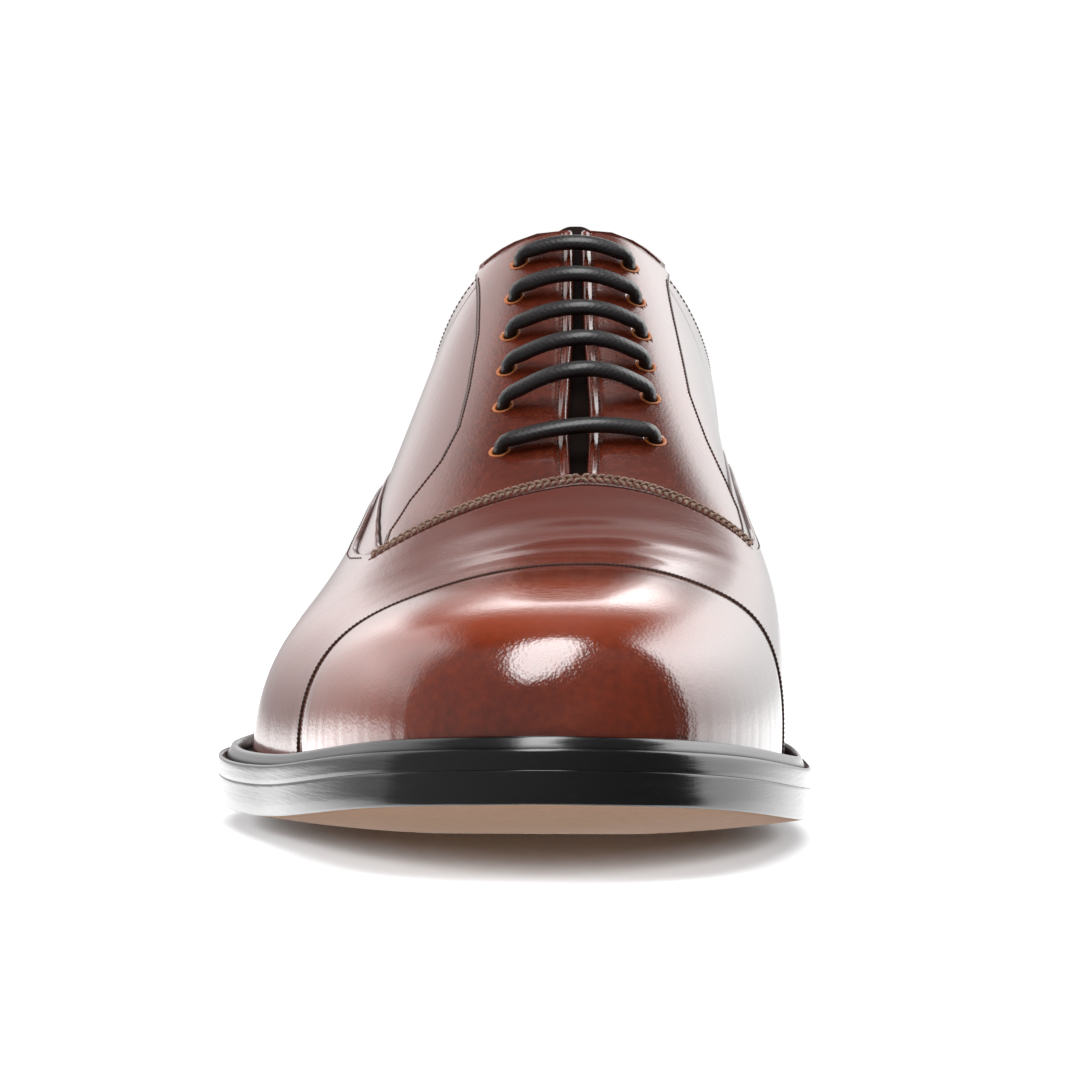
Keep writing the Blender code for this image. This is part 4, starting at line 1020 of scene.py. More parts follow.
# %% Make the upper
def make_upper():
    """Outer wall, rolled collar, lining and foot, on both sides of the shoe."""
    patches = []
    raised = (WALL_DROP > RAISED_FROM)[None, :]
    for medial in (False, True):
        back = unfold(BACK_COLUMNS, medial)
        front = unfold(FRONT_COLUMNS, medial)[:, None]
        top = edges(back)[2]
        roll = rolled(back, top)
        shares, offset = wall_rows(back)
        back = back[:, None]
        plain = skin(back, shares, offset)
        quarter = skin(back, shares, offset + relief(plain, shares, back))
        near = smooth((FRONT_COLUMNS / THROAT_SIDE - 0.5) / 0.5)[:, None]
        rows = np.linspace(0.0, RIDGE, shares.shape[1])[None, :] * (1.0 - near) + shares[:1] * near
        fall = FRONT_DROP[:, None] * WALL_DROP[None, :]
        plain = skin(front, rows, VAMP_STEP * (1.0 - fall))
        thick = VAMP_STEP * (1.0 - fall) + (1.0 - fall) * relief(plain, rows, front)
        band = THROAT_DITCH[:, None] * raised
        ditch = CAP_DITCH_DEPTH * CAP_DITCH[:, None] + THROAT_DITCH_DEPTH * band
        vamp = skin(front, rows, thick - ditch)
        # painted shade on the lip at the throat and in the ditches behind the cap and the throat
        mark = np.where(fall > RAISED_FROM, fall, 0.0) * raised + CAP_DITCH[:, None] + band
        collar = skin(back, top[:, None] - roll, RIM_OFFSET)
        lining = skin(back, (top - roll[:, 0])[:, None] * LINING_ROWS, -WALL_THICK)
        toe = skin(front, RIDGE * LINING_ROWS, -WALL_THICK)
        patches += [
            patch(quarter, 0, WALL_SHADE_MARK), patch(vamp, 0, np.minimum(mark, 1.0)), patch(collar),
            patch(lining, 1), patch(toe, 1),
        ]
        for wall, inside in ((quarter, lining), (vamp, toe)):
            patches.append(patch(np.stack((wall[:, 0], inside[:, -1]), 1), 1))
    return sew("vamp_quarters_and_lining", patches, (CHESTNUT, LINING), "upper_leather", "upper")


upper_piece = make_upper()

# %% [markdown]
# ## Toe cap
# A second piece of leather is laid over the vamp's front and sewn down along one straight edge. Its edge is
# skived, that is pared thin, so the step there is low and rounds over. It carries the pleats of the lasting. A
# Solidify modifier would give it one thickness everywhere; here the thickness is a curve that falls to the seam.

# %% Make the toe cap
CAP_LAYER = 1.3
CAP_SKIVE = 0.5
CAP_SKIVE_RUN = 5.0
CAP_CLEAR = 0.03
CAP_UNDER = VAMP_STEP - CAP_CLEAR
CAP_GROOVE = np.array((2.0, 1.7, 1.45, 1.25))
CAP_GROOVE_AT = 0.6
CAP_GROOVE_WIDTH = 0.40
CAP_GROOVE_DEPTH = 0.20
CAP_COLUMNS = np.concatenate((
    (0.0,), np.linspace(0.0, CAP_SIDE - 3.0 / CAP_RATE, 90)[5:],
    CAP_SIDE - CAP_GROOVE / CAP_RATE, CAP_SIDE - LIP_INSET / CAP_RATE,
))
CAP_DROP = np.concatenate((np.zeros(len(CAP_COLUMNS) - len(LIP_DROP)), LIP_DROP))
# painted shade on the cap's groove and its skived edge
CAP_SHADE_MARK = np.concatenate((np.zeros(len(CAP_COLUMNS) - 7), (0.0, 0.3, 1.0, 1.0, 1.0, 1.0, 1.0)))
CAP_ROWS = np.linspace(0.0, RIDGE, 72)[None, :]


def cap_height(sides):
    """Height of the cap over the last: full in front, pared towards its seam."""
    away = (CAP_SIDE - sides) * CAP_RATE
    pared = VAMP_STEP + CAP_LAYER * (1.0 - CAP_SKIVE * np.exp(-(away / CAP_SKIVE_RUN) ** 2))
    return pared - CAP_GROOVE_DEPTH * np.exp(-((away - CAP_GROOVE_AT) / CAP_GROOVE_WIDTH) ** 2)


def make_toe_cap():
    """Rounded outer skin, plain underside in the vamp's own thickness, closed at the foot and the seam."""
    height = cap_height(CAP_COLUMNS)[:, None]
    drop = CAP_DROP[:, None]
    offset = height - drop * (height - VAMP_STEP - CAP_CLEAR)
    patches = []
    for medial in (False, True):
        loop = unfold(CAP_COLUMNS, medial)[:, None]
        plain = skin(loop, CAP_ROWS, offset)
        high = skin(loop, CAP_ROWS, offset + relief(plain, CAP_ROWS, loop) * (1.0 - drop))
        low = skin(loop, CAP_ROWS, CAP_UNDER)
        patches += [
            patch(high, 0, CAP_SHADE_MARK[:, None]), patch(low),
            # painted shade on the cap's end wall at its seam
            patch(np.stack((high[-1], low[-1]), 0), 0, 1.0), patch(np.stack((high[:, 0], low[:, 0]), 1)),
        ]
    return sew("toe_cap_leather", patches, (MIRROR,), "upper_leather", "toe_cap")


make_toe_cap()

# %% [markdown]
# ## Facings
# The facings carry the lace holes. Each is a thin overlay on the quarter that ends in a fold along the slit,
# so both its edges are rounded. The holes are punched straight through facing and quarter with a round
# cutter, and the punch leaves a raw orange edge that the polish never reached.

# %% Make the facings
FACING_TOP = 1.0
FACING_BASE = 0.03
FACING_UNDER = FACING_BASE - 0.02
FACING_CLEAR = 0.008
FACING_COLUMNS = side_at(np.linspace(THROAT + 0.4, 103.2, 92))
FACING_INNER = np.linspace(0.0, 1.0, 34)[None, 1:-1]
FACING_NEAR = np.array((4.2, 3.5, 3.0, 2.6, 2.2, 1.8, 1.4))
FACING_ROOM = np.linspace(0.62, 0.34, len(FACING_NEAR))
FACING_FLAT = np.zeros(FACING_INNER.size + len(FACING_NEAR))
FACING_DROP = np.concatenate((LIP_DROP[::-1], FACING_FLAT, LIP_DROP))
# painted shade on the lip at the facing's lower edge
FACING_SHADE_MARK = np.concatenate(((1.0, 1.0, 1.0, 0.6, 0.0), FACING_FLAT, 0.0 * LIP_DROP))
FOLD_HEIGHT, FOLD_AT, FOLD_WIDTH = 0.45, 0.8, 0.55
ROW_DEPTH, ROW_AT, ROW_WIDTH = 0.30, 2.2, 0.45


def make_facing(name, node, medial):
    """Rows from the facing's edge up to the slit, a rounded lip at both, a raised fold and a sewn furrow."""
    loop = unfold(FACING_COLUMNS, medial)
    vamp, facing, top = edges(loop)
    low_edge = np.maximum(facing, vamp + FACING_CLEAR)
    room = (top - low_edge)[:, None]
    rate = top_rate(loop, top)[:, None]
    top = top[:, None]
    lip = np.minimum(LIP_INSET[None, :] / rate, 0.3 * room)
    near = np.minimum(FACING_NEAR[None, :] / rate, room * FACING_ROOM[None, :])
    start = low_edge[:, None] + lip[:, ::-1]
    stop = np.concatenate((top - near, top - lip), axis=1)
    middle = start[:, -1:] + (stop[:, :1] - start[:, -1:]) * FACING_INNER
    rows = np.concatenate((start, middle, stop), axis=1)
    away = (top - rows) * rate
    roll = FOLD_HEIGHT * np.exp(-((away - FOLD_AT) / FOLD_WIDTH) ** 2)
    roll = roll - ROW_DEPTH * np.exp(-((away - ROW_AT) / ROW_WIDTH) ** 2)
    height = FACING_BASE + (FACING_TOP - FACING_BASE + roll) * (1.0 - FACING_DROP)[None, :]
    high = skin(loop[:, None], rows, height)
    low = skin(loop[:, None], rows, FACING_UNDER)
    patches = [patch(high, 0, FACING_SHADE_MARK), patch(low)]
    for ring in (np.s_[0], np.s_[-1], np.s_[:, 0], np.s_[:, -1]):
        patches.append(patch(np.stack((high[ring], low[ring]), 0)))
    return sew(name, patches, (RUSSET,), "upper_leather", node)


facing_pieces = (
    make_facing("facing_outer_side", "facing_lateral", False),
    make_facing("facing_inner_side", "facing_medial", True),
)

# %% Punch the lace holes
EYELET_RADIUS = 2.1
PUNCH_HALF = 4.0
HOLE = table(EYELET_COLUMNS, EYELETS)
HOLE_LOOP = np.concatenate((side_at(HOLE["along_lateral"]), LOOP - side_at(HOLE["along_medial"])))
HOLE_CLOSER = 0.89
HOLE_SHARE = np.concatenate((HOLE["share_lateral"], HOLE["share_medial"]))
HOLE_SHARE = RIDGE - HOLE_CLOSER * (RIDGE - HOLE_SHARE)
HOLE_PLACE = skin(HOLE_LOOP, HOLE_SHARE, 0.0, sweep=False)
HOLE_AXIS = skin(HOLE_LOOP, HOLE_SHARE, 1.0, sweep=False) - HOLE_PLACE


def frame_of(axis, along):
    """Two directions square to each axis, the first one near the given direction."""
    first = along - axis * (along * axis).sum(-1, keepdims=True)
    first = first / np.linalg.norm(first, axis=-1, keepdims=True)
    return first, np.cross(axis, first)


def turned(radius, height):
    """Twelve closed forms: points of a profile at radius and height, turned about each hole's axis."""
    first, second = frame_of(HOLE_AXIS, np.broadcast_to((0.0, 1.0, 0.0), HOLE_AXIS.shape))
    turn = np.linspace(0.0, 2.0 * np.pi, 25)
    circle = np.cos(turn)[:, None] * first[:, None] + np.sin(turn)[:, None] * second[:, None]
    rings = HOLE_PLACE[:, None, None] + radius[:, None, None] * circle[:, None]
    rings = rings + height[None, :, None, None] * HOLE_AXIS[:, None, None]
    return [patch(ring) for ring in rings]


def punch(pieces):
    """Cuts the holes: a Boolean modifier, then its result as the piece's own mesh."""
    radius, height = EYELET_RADIUS * np.array((0.0, 1.0, 1.0, 0.0)), PUNCH_HALF * np.array((-1.0, -1.0, 1.0, 1.0))
    tool = sew("punch", turned(radius, height), (RAW_EDGE,), "upper_leather")
    for piece in pieces:
        cut = piece.modifiers.new("holes", "BOOLEAN")
        cut.operation = "DIFFERENCE"
        cut.solver = "EXACT"
        cut.object = tool
        shape = bpy.data.meshes.new_from_object(piece.evaluated_get(bpy.context.evaluated_depsgraph_get()))
        piece.modifiers.clear()
        old, name = piece.data, piece.data.name
        piece.data = shape
        bpy.data.meshes.remove(old)
        shape.name = name
        print(piece.name, "after punching:", count_triangles(piece), "triangles")
    del TRIANGLES["punch"]
    mesh = tool.data
    bpy.data.objects.remove(tool)
    bpy.data.meshes.remove(mesh)


punch((upper_piece,) + facing_pieces)

# %% [markdown]
# ## Rims of the lace holes
# Each punched hole shows its raw edge as a small orange ring round the lace. The ring is a profile turned
# about the hole's axis: a rounded lip that sits on the facing and goes down into the hole.

# %% Make the rims
RIM_PROFILE = np.array((
    # radius as a share of the hole's, height over the facing's top
    (0.70, -0.9), (0.76, 0.0), (0.84, 0.10), (0.93, 0.13), (1.02, 0.09), (1.08, 0.0), (1.06, -0.4), (1.02, -0.9),
    (0.70, -0.9),
)) * (EYELET_RADIUS, 1.0)

rims = turned(RIM_PROFILE[:, 0], FACING_TOP + RIM_PROFILE[:, 1])
sew("lace_hole_rims", rims, (RAW_EDGE,), "upper_leather")

# %% [markdown]
# ## Tongue
# The tongue lies under the facings and keeps the lace off the foot. It is one soft leather sheet, skived thin
# at its sides so that it leaves room for the lace's runs inside, and rounded where it comes out at the top. A flat
# sheet could be draped over the last, but two offsets of the last's own surface already lie where it would lie.

# %% Make the tongue
TONGUE_FRONT = 188.0
TONGUE_BACK = 97.5
TONGUE_ROUND = 12.0
TONGUE_RAISE = 1.5
TONGUE_TIP = 7.0
TONGUE_DEPTH = 3.4
TONGUE_THICK = 1.8
TONGUE_PARED = 1.25
TONGUE_SINK = 0.55
TONGUE_HALF = 0.15
TONGUE_SPREAD = 0.02
TONGUE_ROWS = 72
TONGUE_ACROSS = np.concatenate((np.linspace(1.0, 0.8, 9), np.linspace(0.75, 0.0, 12)))[None, :]


def make_tongue():
    """Sheet between two offsets inside the last; thickness falls to a rounded edge all round."""
    along = TONGUE_BACK + (TONGUE_FRONT - TONGUE_BACK) * np.linspace(1.0, 0.0, TONGUE_ROWS) ** 1.6
    round_end = np.clip(1.0 - (along - TONGUE_BACK) / TONGUE_ROUND, 0.0, 1.0)
    half = TONGUE_HALF + TONGUE_SPREAD * smooth((along - 110.0) / 40.0)
    half = half * (0.2 + 0.8 * np.sqrt(1.0 - round_end ** 2))
    tip = smooth((TONGUE_BACK + TONGUE_TIP - along) / TONGUE_TIP)[:, None]
    end = np.clip((along - TONGUE_BACK) / 1.2, 0.0, 1.0)[:, None] ** 0.5
    share = RIDGE - half[:, None] * TONGUE_ACROSS
    skive = smooth((TONGUE_ACROSS - 0.72) / 0.2)
    edge = np.sqrt(np.clip((1.0 - TONGUE_ACROSS) / 0.06, 0.0, 1.0))
    thick = (TONGUE_THICK - TONGUE_PARED * skive) * edge * end
    middle = TONGUE_RAISE * tip * smooth((share - 0.44) / 0.05) - TONGUE_DEPTH - TONGUE_SINK * skive
    patches = []
    for medial in (False, True):
        loop = unfold(side_at(along), medial)[:, None]
        high, low = (skin(loop, share, middle + sign * thick, sweep=False) for sign in (0.5, -0.5))
        patches += [patch(high), patch(low), patch(np.stack((high[0], low[0]), 0))]
    return sew("tongue_leather_sheet", patches, (TONGUE_SHADE_DARK,), "tongue_leather", "tongue")


make_tongue()

# %% [markdown]
# ## Lace
# One waxed cord makes six straight bars across the slit. Each bar rises out of its hole, lies over the facings
# and goes down the other hole; inside, it runs along the row of holes to the next bar, and both hidden ends
# stop at the top holes. A cord is a ring of points carried along a path: flat direction and rise turn with it. A
# bevelled curve could draw it too, but it would not flatten where the lace lies on the leather.

# %% Make the lace
LACE_WIDE = 2.1
LACE_THICK = 1.4
LACE_END = 1.35
LACE_OVER = FACING_TOP + LACE_THICK + 0.15
LACE_INSIDE = -2.95
LACE_ENDS = np.array((
    # distance along the bar, height over the last, half width, half thickness
    (0.0, LACE_INSIDE, 0.9, 0.7), (0.0, -1.6, 1.2, 1.2), (0.0, 0.2, LACE_END, LACE_END),
    (0.12, 1.1, LACE_END, LACE_END), (0.55, 1.9, 1.45, 1.35), (1.3, LACE_OVER + 0.10, 1.6, 1.3),
    (2.5, LACE_OVER + 0.22, 1.85, LACE_THICK), (4.2, LACE_OVER + 0.12, LACE_WIDE, LACE_THICK),
))
LACE_LIFT = (1.0, 1.8, 2.4, 3.2, 4.0, 1.0)
BARS = len(LACE_LIFT)
BAR_ROWS = 30
BAR_STRETCH = 1.12
# side, first hole and second hole of each run inside
RUNS = ((0, 5, 4), (1, 4, 2), (0, 2, 0), (1, 5, 3), (0, 3, 1), (1, 1, 0))
RUN_ROWS = 24
RUN_WIDE = 1.2
RUN_THICK = 0.72
RUN_ASIDE = (0.011, -0.006)
TURN = np.linspace(0.0, 2.0 * np.pi, 19)


def length_along(path):
    """Length of a path up to each of its points."""
    return np.concatenate(([0.0], np.cumsum(np.linalg.norm(np.diff(path, axis=0), axis=1))))


def tube(path, flat, wide, thick):
    """Closed cord: oval rings square to the path, with a point at each end; mapped by length and turn."""
    ahead = np.gradient(path, axis=0)
    ahead = ahead / np.linalg.norm(ahead, axis=1, keepdims=True)
    first, second = frame_of(ahead, flat)
    ring = path[:, None] + np.cos(TURN)[None, :, None] * (wide[:, None] * first)[:, None]
    ring = ring + np.sin(TURN)[None, :, None] * (thick[:, None] * second)[:, None]
    start, stop = (np.repeat(end[:, None], len(TURN), 1) for end in (path[:1], path[-1:]))
    ring = np.concatenate((start, ring, stop))
    run = length_along(path)
    run = np.concatenate((run[:1], run, run[-1:]))
    flat_map = np.stack(np.broadcast_arrays(run[:, None], TURN[None, :] / (2.0 * np.pi)), -1)
    return patch(ring, flat=flat_map), run[-1]


def bar(k):
    """Over the slit from one hole to the other, a row of heights between the two ends' own rows."""
    outer, inner = HOLE_LOOP[k], LOOP - HOLE_LOOP[k + BARS]
    low, high = HOLE_SHARE[k], 1.0 - HOLE_SHARE[k + BARS]
    span = BAR_STRETCH * np.linalg.norm(HOLE_PLACE[k] - HOLE_PLACE[k + BARS])
    reach = LACE_ENDS[-1, 0] / span + 0.02
    middle = np.linspace(reach, 1.0 - reach, BAR_ROWS)
    t = np.concatenate((LACE_ENDS[:, 0] / span, middle, 1.0 - LACE_ENDS[::-1, 0] / span))
    rows = np.concatenate((LACE_ENDS, np.repeat(LACE_ENDS[-1:], BAR_ROWS, 0), LACE_ENDS[::-1]))
    arch = low + (high - low) * t
    past = arch > RIDGE
    loop = unfold(outer + (inner - outer) * t, past)
    share = np.where(past, 1.0 - arch, arch)
    lift = rows[:, 1] + LACE_LIFT[k] * np.sin(np.pi * np.clip(t, 0.0, 1.0)) ** 1.2
    path = skin(loop, share, lift, sweep=False)
    slope = skin(np.where(past, loop + 0.01, loop - 0.01), share, lift, sweep=False)
    return tube(path, slope - path, rows[:, 2], rows[:, 3])


def inside_run(medial, first, second):
    """Along the row of holes on one side, between the lining and the tongue."""
    i, j = first + BARS * medial, second + BARS * medial
    t = np.linspace(0.0, 1.0, RUN_ROWS)
    loop = HOLE_LOOP[i] + (HOLE_LOOP[j] - HOLE_LOOP[i]) * t
    aside = RUN_ASIDE[(first + second) % 4 != 0]
    share = HOLE_SHARE[i] + (HOLE_SHARE[j] - HOLE_SHARE[i]) * t + aside * np.sin(np.pi * t) ** 0.5
    path = skin(loop, share, LACE_INSIDE, sweep=False)
    flat = skin(loop, share + 0.01, LACE_INSIDE, sweep=False) - path
    return tube(path, flat, np.full(RUN_ROWS, RUN_WIDE), np.full(RUN_ROWS, RUN_THICK))


def make_lace():
    """All bars and inside runs of the one cord."""
    parts = [bar(k) for k in range(BARS)] + [inside_run(*run) for run in RUNS]
    print("lace in the shoe:", round(sum(length for _, length in parts)), "mm")
    bars = [f"lace_bar_{k + 1}" for k in range(BARS)]
    return sew("laced_cord", [part for part, _ in parts], (LACE,), "lace_cord", *bars)


make_lace()

# %% [markdown]
# ## Welt, sole and heel
# The welt is a leather strip sewn round the upper's foot, with a raised bead against the upper and a groove
# outside it. Under it lies the sole, black at its edge and bare tan below, and the heel is a stack of leather
# lifts over a rubber top piece. Each is a profile carried round the last's foot, so that all of them keep to one
# outline; a bead made as a separate tube would have to be fitted to it.

# %% Make the welt
SOLE_SIDES = np.concatenate((np.linspace(0.0, 1.0, 150) ** 1.05, np.linspace(1.0, 2.0, 60)[1:]))
BEAD_START = 3.4
BEAD_HEIGHT = 2.4
WELT_INNER = 2.6
WELT_FOOT = WELT_THICK + SEAT_GAP - 0.02
BEAD = Curve(
    (0.0, 0.08, 0.18, 0.27, 0.36, 0.46, 0.55, 0.63, 0.72, 0.84, 0.95),
    (0.0, 0.45, 0.85, 0.97, 0.95, 0.75, 0.35, 0.05, -0.20, -0.16, 0.0),
)
BEAD_ROWS = np.linspace(0.90, 0.0, 26)
# painted shade in the welt's groove and where it meets the upper
WELT_SHADE_MARK = np.concatenate((
    np.zeros(8), np.exp(-((BEAD_ROWS - 0.68) / 0.10) ** 4) + smooth((0.10 - BEAD_ROWS) / 0.08), np.zeros(3),
))


def welt_profile(reach, show):
    """Pairs of distance outside the foot and depth, from the underside round the edge and bead to the inside."""
    room = reach - BEAD_START
    flat = 0.0 * reach
    rows = [(reach - 0.05, flat + WELT_FOOT), (reach, flat + WELT_FOOT - 0.06)]
    rows += [(reach, flat + depth) for depth in (WELT_THICK - 0.5, 1.6, 0.7)]
    rows += [(reach - 0.06, flat + 0.35), (reach - 0.22, flat + 0.1), (reach - 0.5, flat)]
    for t in BEAD_ROWS:
        rows.append((BEAD_START + t * room, -BEAD_HEIGHT * float(BEAD(t)) * show))
    rows += [(flat - WELT_INNER, flat), (flat - WELT_INNER, flat + WELT_FOOT), (reach - 0.05, flat + WELT_FOOT)]
    return rows


def make_welt():
    """The profile carried round both sides; the bead sinks away at the heel."""
    show = smooth((0.93 - SOLE_SIDES) / 0.15)
    patches = []
    for medial in (False, True):
        rows = welt_profile(extension(SOLE_SIDES, medial), show)
        grid = np.stack([under_welt(outline(SOLE_SIDES, medial, o), d) for o, d in rows], 1)
        patches.append(patch(grid, 0, WELT_SHADE_MARK))
    return sew("beaded_welt", patches, (EDGE_BLACK,), "welt_leather", "welt")


make_welt()

# %% [markdown]
# ## Outsole
# The outsole is one sheet of leather. Grids go across it from edge to edge at several depths; the edges of those
# grids, one under the other, are the black rim, and the last grid is the tan underside with its crown.

# %% Make the outsole
HEEL_BREAST = 74.0
BREAST_HOLLOW = 5.0
SOLE_TOP = WELT_THICK + SEAT_GAP
EDGE_ROWS = (
    # inset, share of the thickness
    (0.05, 0.0), (0.0, 0.02), (0.0, 0.10), (0.0, 0.26), (0.0, 0.45), (0.0, 0.64), (0.04, 0.80), (0.18, 0.92),
    (0.5, 1.0),
)
ACROSS = np.linspace(0.0, 1.0, 41)


def across_sole(sides, outer, inner):
    """Plan grid from one edge of the sole to the other: a straight mix of the edges' points."""
    left, right = outline(sides, False, outer), outline(sides, True, inner)
    return left[:, None, :] * (1.0 - ACROSS)[None, :, None] + right[:, None, :] * ACROSS[None, :, None]


def sheet(sides, inset, depth, hollow=0.0):
    """Grid across the sole at a depth under the welt's top, its front end hollowed."""
    plan = across_sole(sides, extension(sides, False) - inset, extension(sides, True) - inset)
    bow = hollow * (1.0 - (2.0 * ACROSS - 1.0) ** 2)
    ahead = smooth((plan[..., 1] - HEEL_CENTRE) / (HEEL_BREAST - HEEL_CENTRE))
    plan[..., 1] = plan[..., 1] - bow[None, :] * ahead
    return under_welt(plan, depth)


def border(grid):
    """Ring round a grid: down one side, across the end, back up the other, across the start."""
    return np.concatenate((grid[:, 0], grid[-1, 1:-1], grid[::-1, -1], grid[0, -2::-1]))


def stacked(grids, bottom=0):
    """Closed form from grids one under the other: the first, the last and the wall of their borders."""
    wall = np.stack([border(grid) for grid in grids], 1)
    return patch(grids[0]), patch(wall), patch(grids[-1], bottom)


def make_outsole():
    """Top, rounded black edge and crowned tan underside."""
    grids = [sheet(SOLE_SIDES, inset, SOLE_TOP + OUTSOLE_THICK * share) for inset, share in EDGE_ROWS]
    patches = stacked(grids, 1)
    return sew("leather_outsole", patches, (EDGE_BLACK, SOLE_TAN), "sole_leather", "outsole")


make_outsole()

# %% [markdown]
# ## Heel
# Four leather lifts are glued, trimmed and inked, and a fine groove is left between them. The rubber top piece is
# the part that wears. Both are the outsole's outline drawn in a little towards the floor, with a hollow breast.

# %% Make the heel
HEEL_INSET = 0.6
HEEL_TAPER = 1.6
TOP_PIECE_THICK = 6.0
LIFTS = 4
LIFT_ROWS = 6
GROOVE = 0.22
TOP_PIECE_ROWS = (
    # height, inset
    (TOP_PIECE_THICK, 0.3), (TOP_PIECE_THICK - 0.3, 0.0), (3.0, 0.0), (0.7, 0.0), (0.2, 0.15), (0.0, 0.6),
)
BREAST_SIDE = float(side_at(HEEL_BREAST))
HEEL_SIDES = np.concatenate((np.linspace(BREAST_SIDE, 1.0, 16), np.linspace(1.0, 2.0, 60)[1:]))


def heel_grid(share, groove):
    """Sheet at a share of the heel's height, drawn in by its taper and by a groove."""
    depth = SOLE_HEIGHT + SEAT_GAP
    high = sheet(HEEL_SIDES, HEEL_INSET + groove, depth, BREAST_HOLLOW)
    low = sheet(HEEL_SIDES, HEEL_INSET + HEEL_TAPER + groove, depth, BREAST_HOLLOW)
    low[..., 2] = 0.0
    return high * (1.0 - share) + low * share


def flat_at(grid, height):
    """The same grid, laid flat at one height."""
    return np.concatenate((grid[..., :2], np.full(grid.shape[:2] + (1,), height)), -1)


def make_heel():
    """Lifts with a fine groove between them, then the top piece with a rounded lower edge."""
    split = 1.0 - TOP_PIECE_THICK / HEEL_HEIGHT
    seat = TOP_PIECE_THICK + SEAT_GAP
    grids = []
    for row, step in enumerate(np.linspace(0.0, 1.0, LIFTS * LIFT_ROWS + 1)):
        cut = GROOVE * (row % LIFT_ROWS == 0)
        high, low = heel_grid(0.0, cut), flat_at(heel_grid(split, cut), seat)
        grids.append(high * (1.0 - step) + low * step)
    sew("stacked_heel", stacked(grids), (HEEL_BLACK,), "heel_leather", "heel_stack")
    grids = [flat_at(heel_grid(1.0 - z / HEEL_HEIGHT, inset), z) for z, inset in TOP_PIECE_ROWS]
    sew("rubber_top_piece", stacked(grids), (TOP_PIECE,), "heel_rubber", "heel_top_piece")


make_heel()

# %% [markdown]
# ## Insole
# The insole closes the upper underneath, and a leather sock covers it. It is hidden in the photograph, so it is
# one plain sheet with a rounded upper edge.

# %% Make the insole
# distance inside the foot, depth under the welt's top
INSOLE_ROWS = ((3.2, WELT_THICK), (3.2, -1.5), (3.5, -2.0), (4.3, -2.2))


def make_insole():
    """Sheet across the last's foot with a rounded upper edge, measured from the foot inwards."""
    grids = []
    for inset, depth in INSOLE_ROWS:
        inside = np.full_like(SOLE_SIDES, -inset)
        grids.append(under_welt(across_sole(SOLE_SIDES, inside, inside), depth))
    return sew("insole_and_sock", stacked(grids), (SOCK,), "insole_leather", "insole")


make_insole()

# %% [markdown]
# ## Stitching
# Seams are sewn at an even pitch, every stitch a short arch of thread whose two ends sink into the leather. One
# template tube is copied to all the places of a row at once: its own length follows the seam, its rise follows
# the leather's normal. Along the cap's seam the stitches overlap into one dark cord. The throat carries a heavier
# double row with slanted stitches, like a small rope. A bump texture could fake them, but not at the outline.

# %% Stitch helper
STITCH_AT = np.array((-0.5, -0.40, 0.0, 0.40, 0.5))
STITCH_ROUND = np.array((0.0, 0.8, 1.0, 0.8, 0.0))
STITCH_TURN = np.linspace(0.0, 2.0 * np.pi, 7)


def read(values, run, at):
    """Points or normals of a path, read at lengths along it."""
    return np.stack([np.interp(at, run, column) for column in values.T], -1)


def row_of_stitches(path, normal, pitch, length, radius, slant=0.0):
    """Template tube at even steps: place plus length along the seam, rise along the normal."""
    run = length_along(path)
    at = np.arange(0.5 * pitch, run[-1], pitch)
    rise = read(normal, run, at)
    rise = rise / np.linalg.norm(rise, axis=1, keepdims=True)
    ahead, aside = frame_of(rise, read(path, run, at + 0.3) - read(path, run, at - 0.3))
    ahead, aside = ahead * np.cos(slant) + aside * np.sin(slant), aside * np.cos(slant) - ahead * np.sin(slant)
    along = length * STITCH_AT
    arch = radius * (0.55 - 1.9 * (2.0 * STITCH_AT) ** 4)
    across = radius * STITCH_ROUND[:, None] * np.cos(STITCH_TURN)[None, :]
    up = arch[:, None] + radius * STITCH_ROUND[:, None] * np.sin(STITCH_TURN)[None, :]
    points = read(path, run, at)[:, None, None] + along[None, :, None, None] * ahead[:, None, None]
    points = points + across[None, :, :, None] * aside[:, None, None]
    return points + up[None, :, :, None] * rise[:, None, None]


def sew_stitches(name, rows, finish):
    """All rows of stitches as one mesh, each stitch a small closed tube."""
    points = np.concatenate(rows)
    mesh = bpy.data.meshes.new(name)
    index = np.arange(points[..., 0].size).reshape(points.shape[:3])
    mesh.from_pydata(to_part(points.reshape(-1, 3)), [], quads_of(index))
    print(len(points), "stitches")
    return finish_piece(name, mesh, (finish,), (), close_up(mesh, FINEST))


def on_skin(loop, share, offset):
    """Path and normals on the leather."""
    path = skin(loop, share, offset)
    return path, skin(loop, share, np.asarray(offset) + 0.5) - path


# %% Seams of the upper
SEAM_POINTS = 160
HEEL_END = 1.99
CAP_ROW = CAP_SIDE - 0.55 / CAP_RATE
CAP_ROW_LOW = 0.012
CAP_ROW_OVER = 0.05
GALOSH_IN = 1.9
FACING_IN = 0.9
COLLAR_DOWN = 2.6
SLIT_SINK = 0.25
WELT_ROW_AT = 0.76
WELT_ROW_DEPTH = 0.45
# pitch, length and radius of the stitches, then their slant
GALOSH_STITCH = (1.5, 1.25, 0.15)
FACING_STITCH = (1.2, 1.75, 0.17)
SLIT_STITCH = (1.5, 1.2, 0.15)
COLLAR_STITCH = (1.5, 1.25, 0.14)
CAP_STITCH = (0.8, 2.4, 0.34, 0.16)
THROAT_STITCH = (1.5, 2.5, 0.42)
WELT_STITCH = (2.6, 2.0, 0.24)
# distance in front of the throat's edge, slant
THROAT_STRANDS = ((1.1, 0.85), (2.7, -0.85))


def to_heel(start, count):
    """Sides from a distance along the shoe back to the heel and round to its middle."""
    return np.concatenate((side_at(np.linspace(start, HEEL_CENTRE + 0.5, count)), np.linspace(1.0, HEEL_END, 100)))


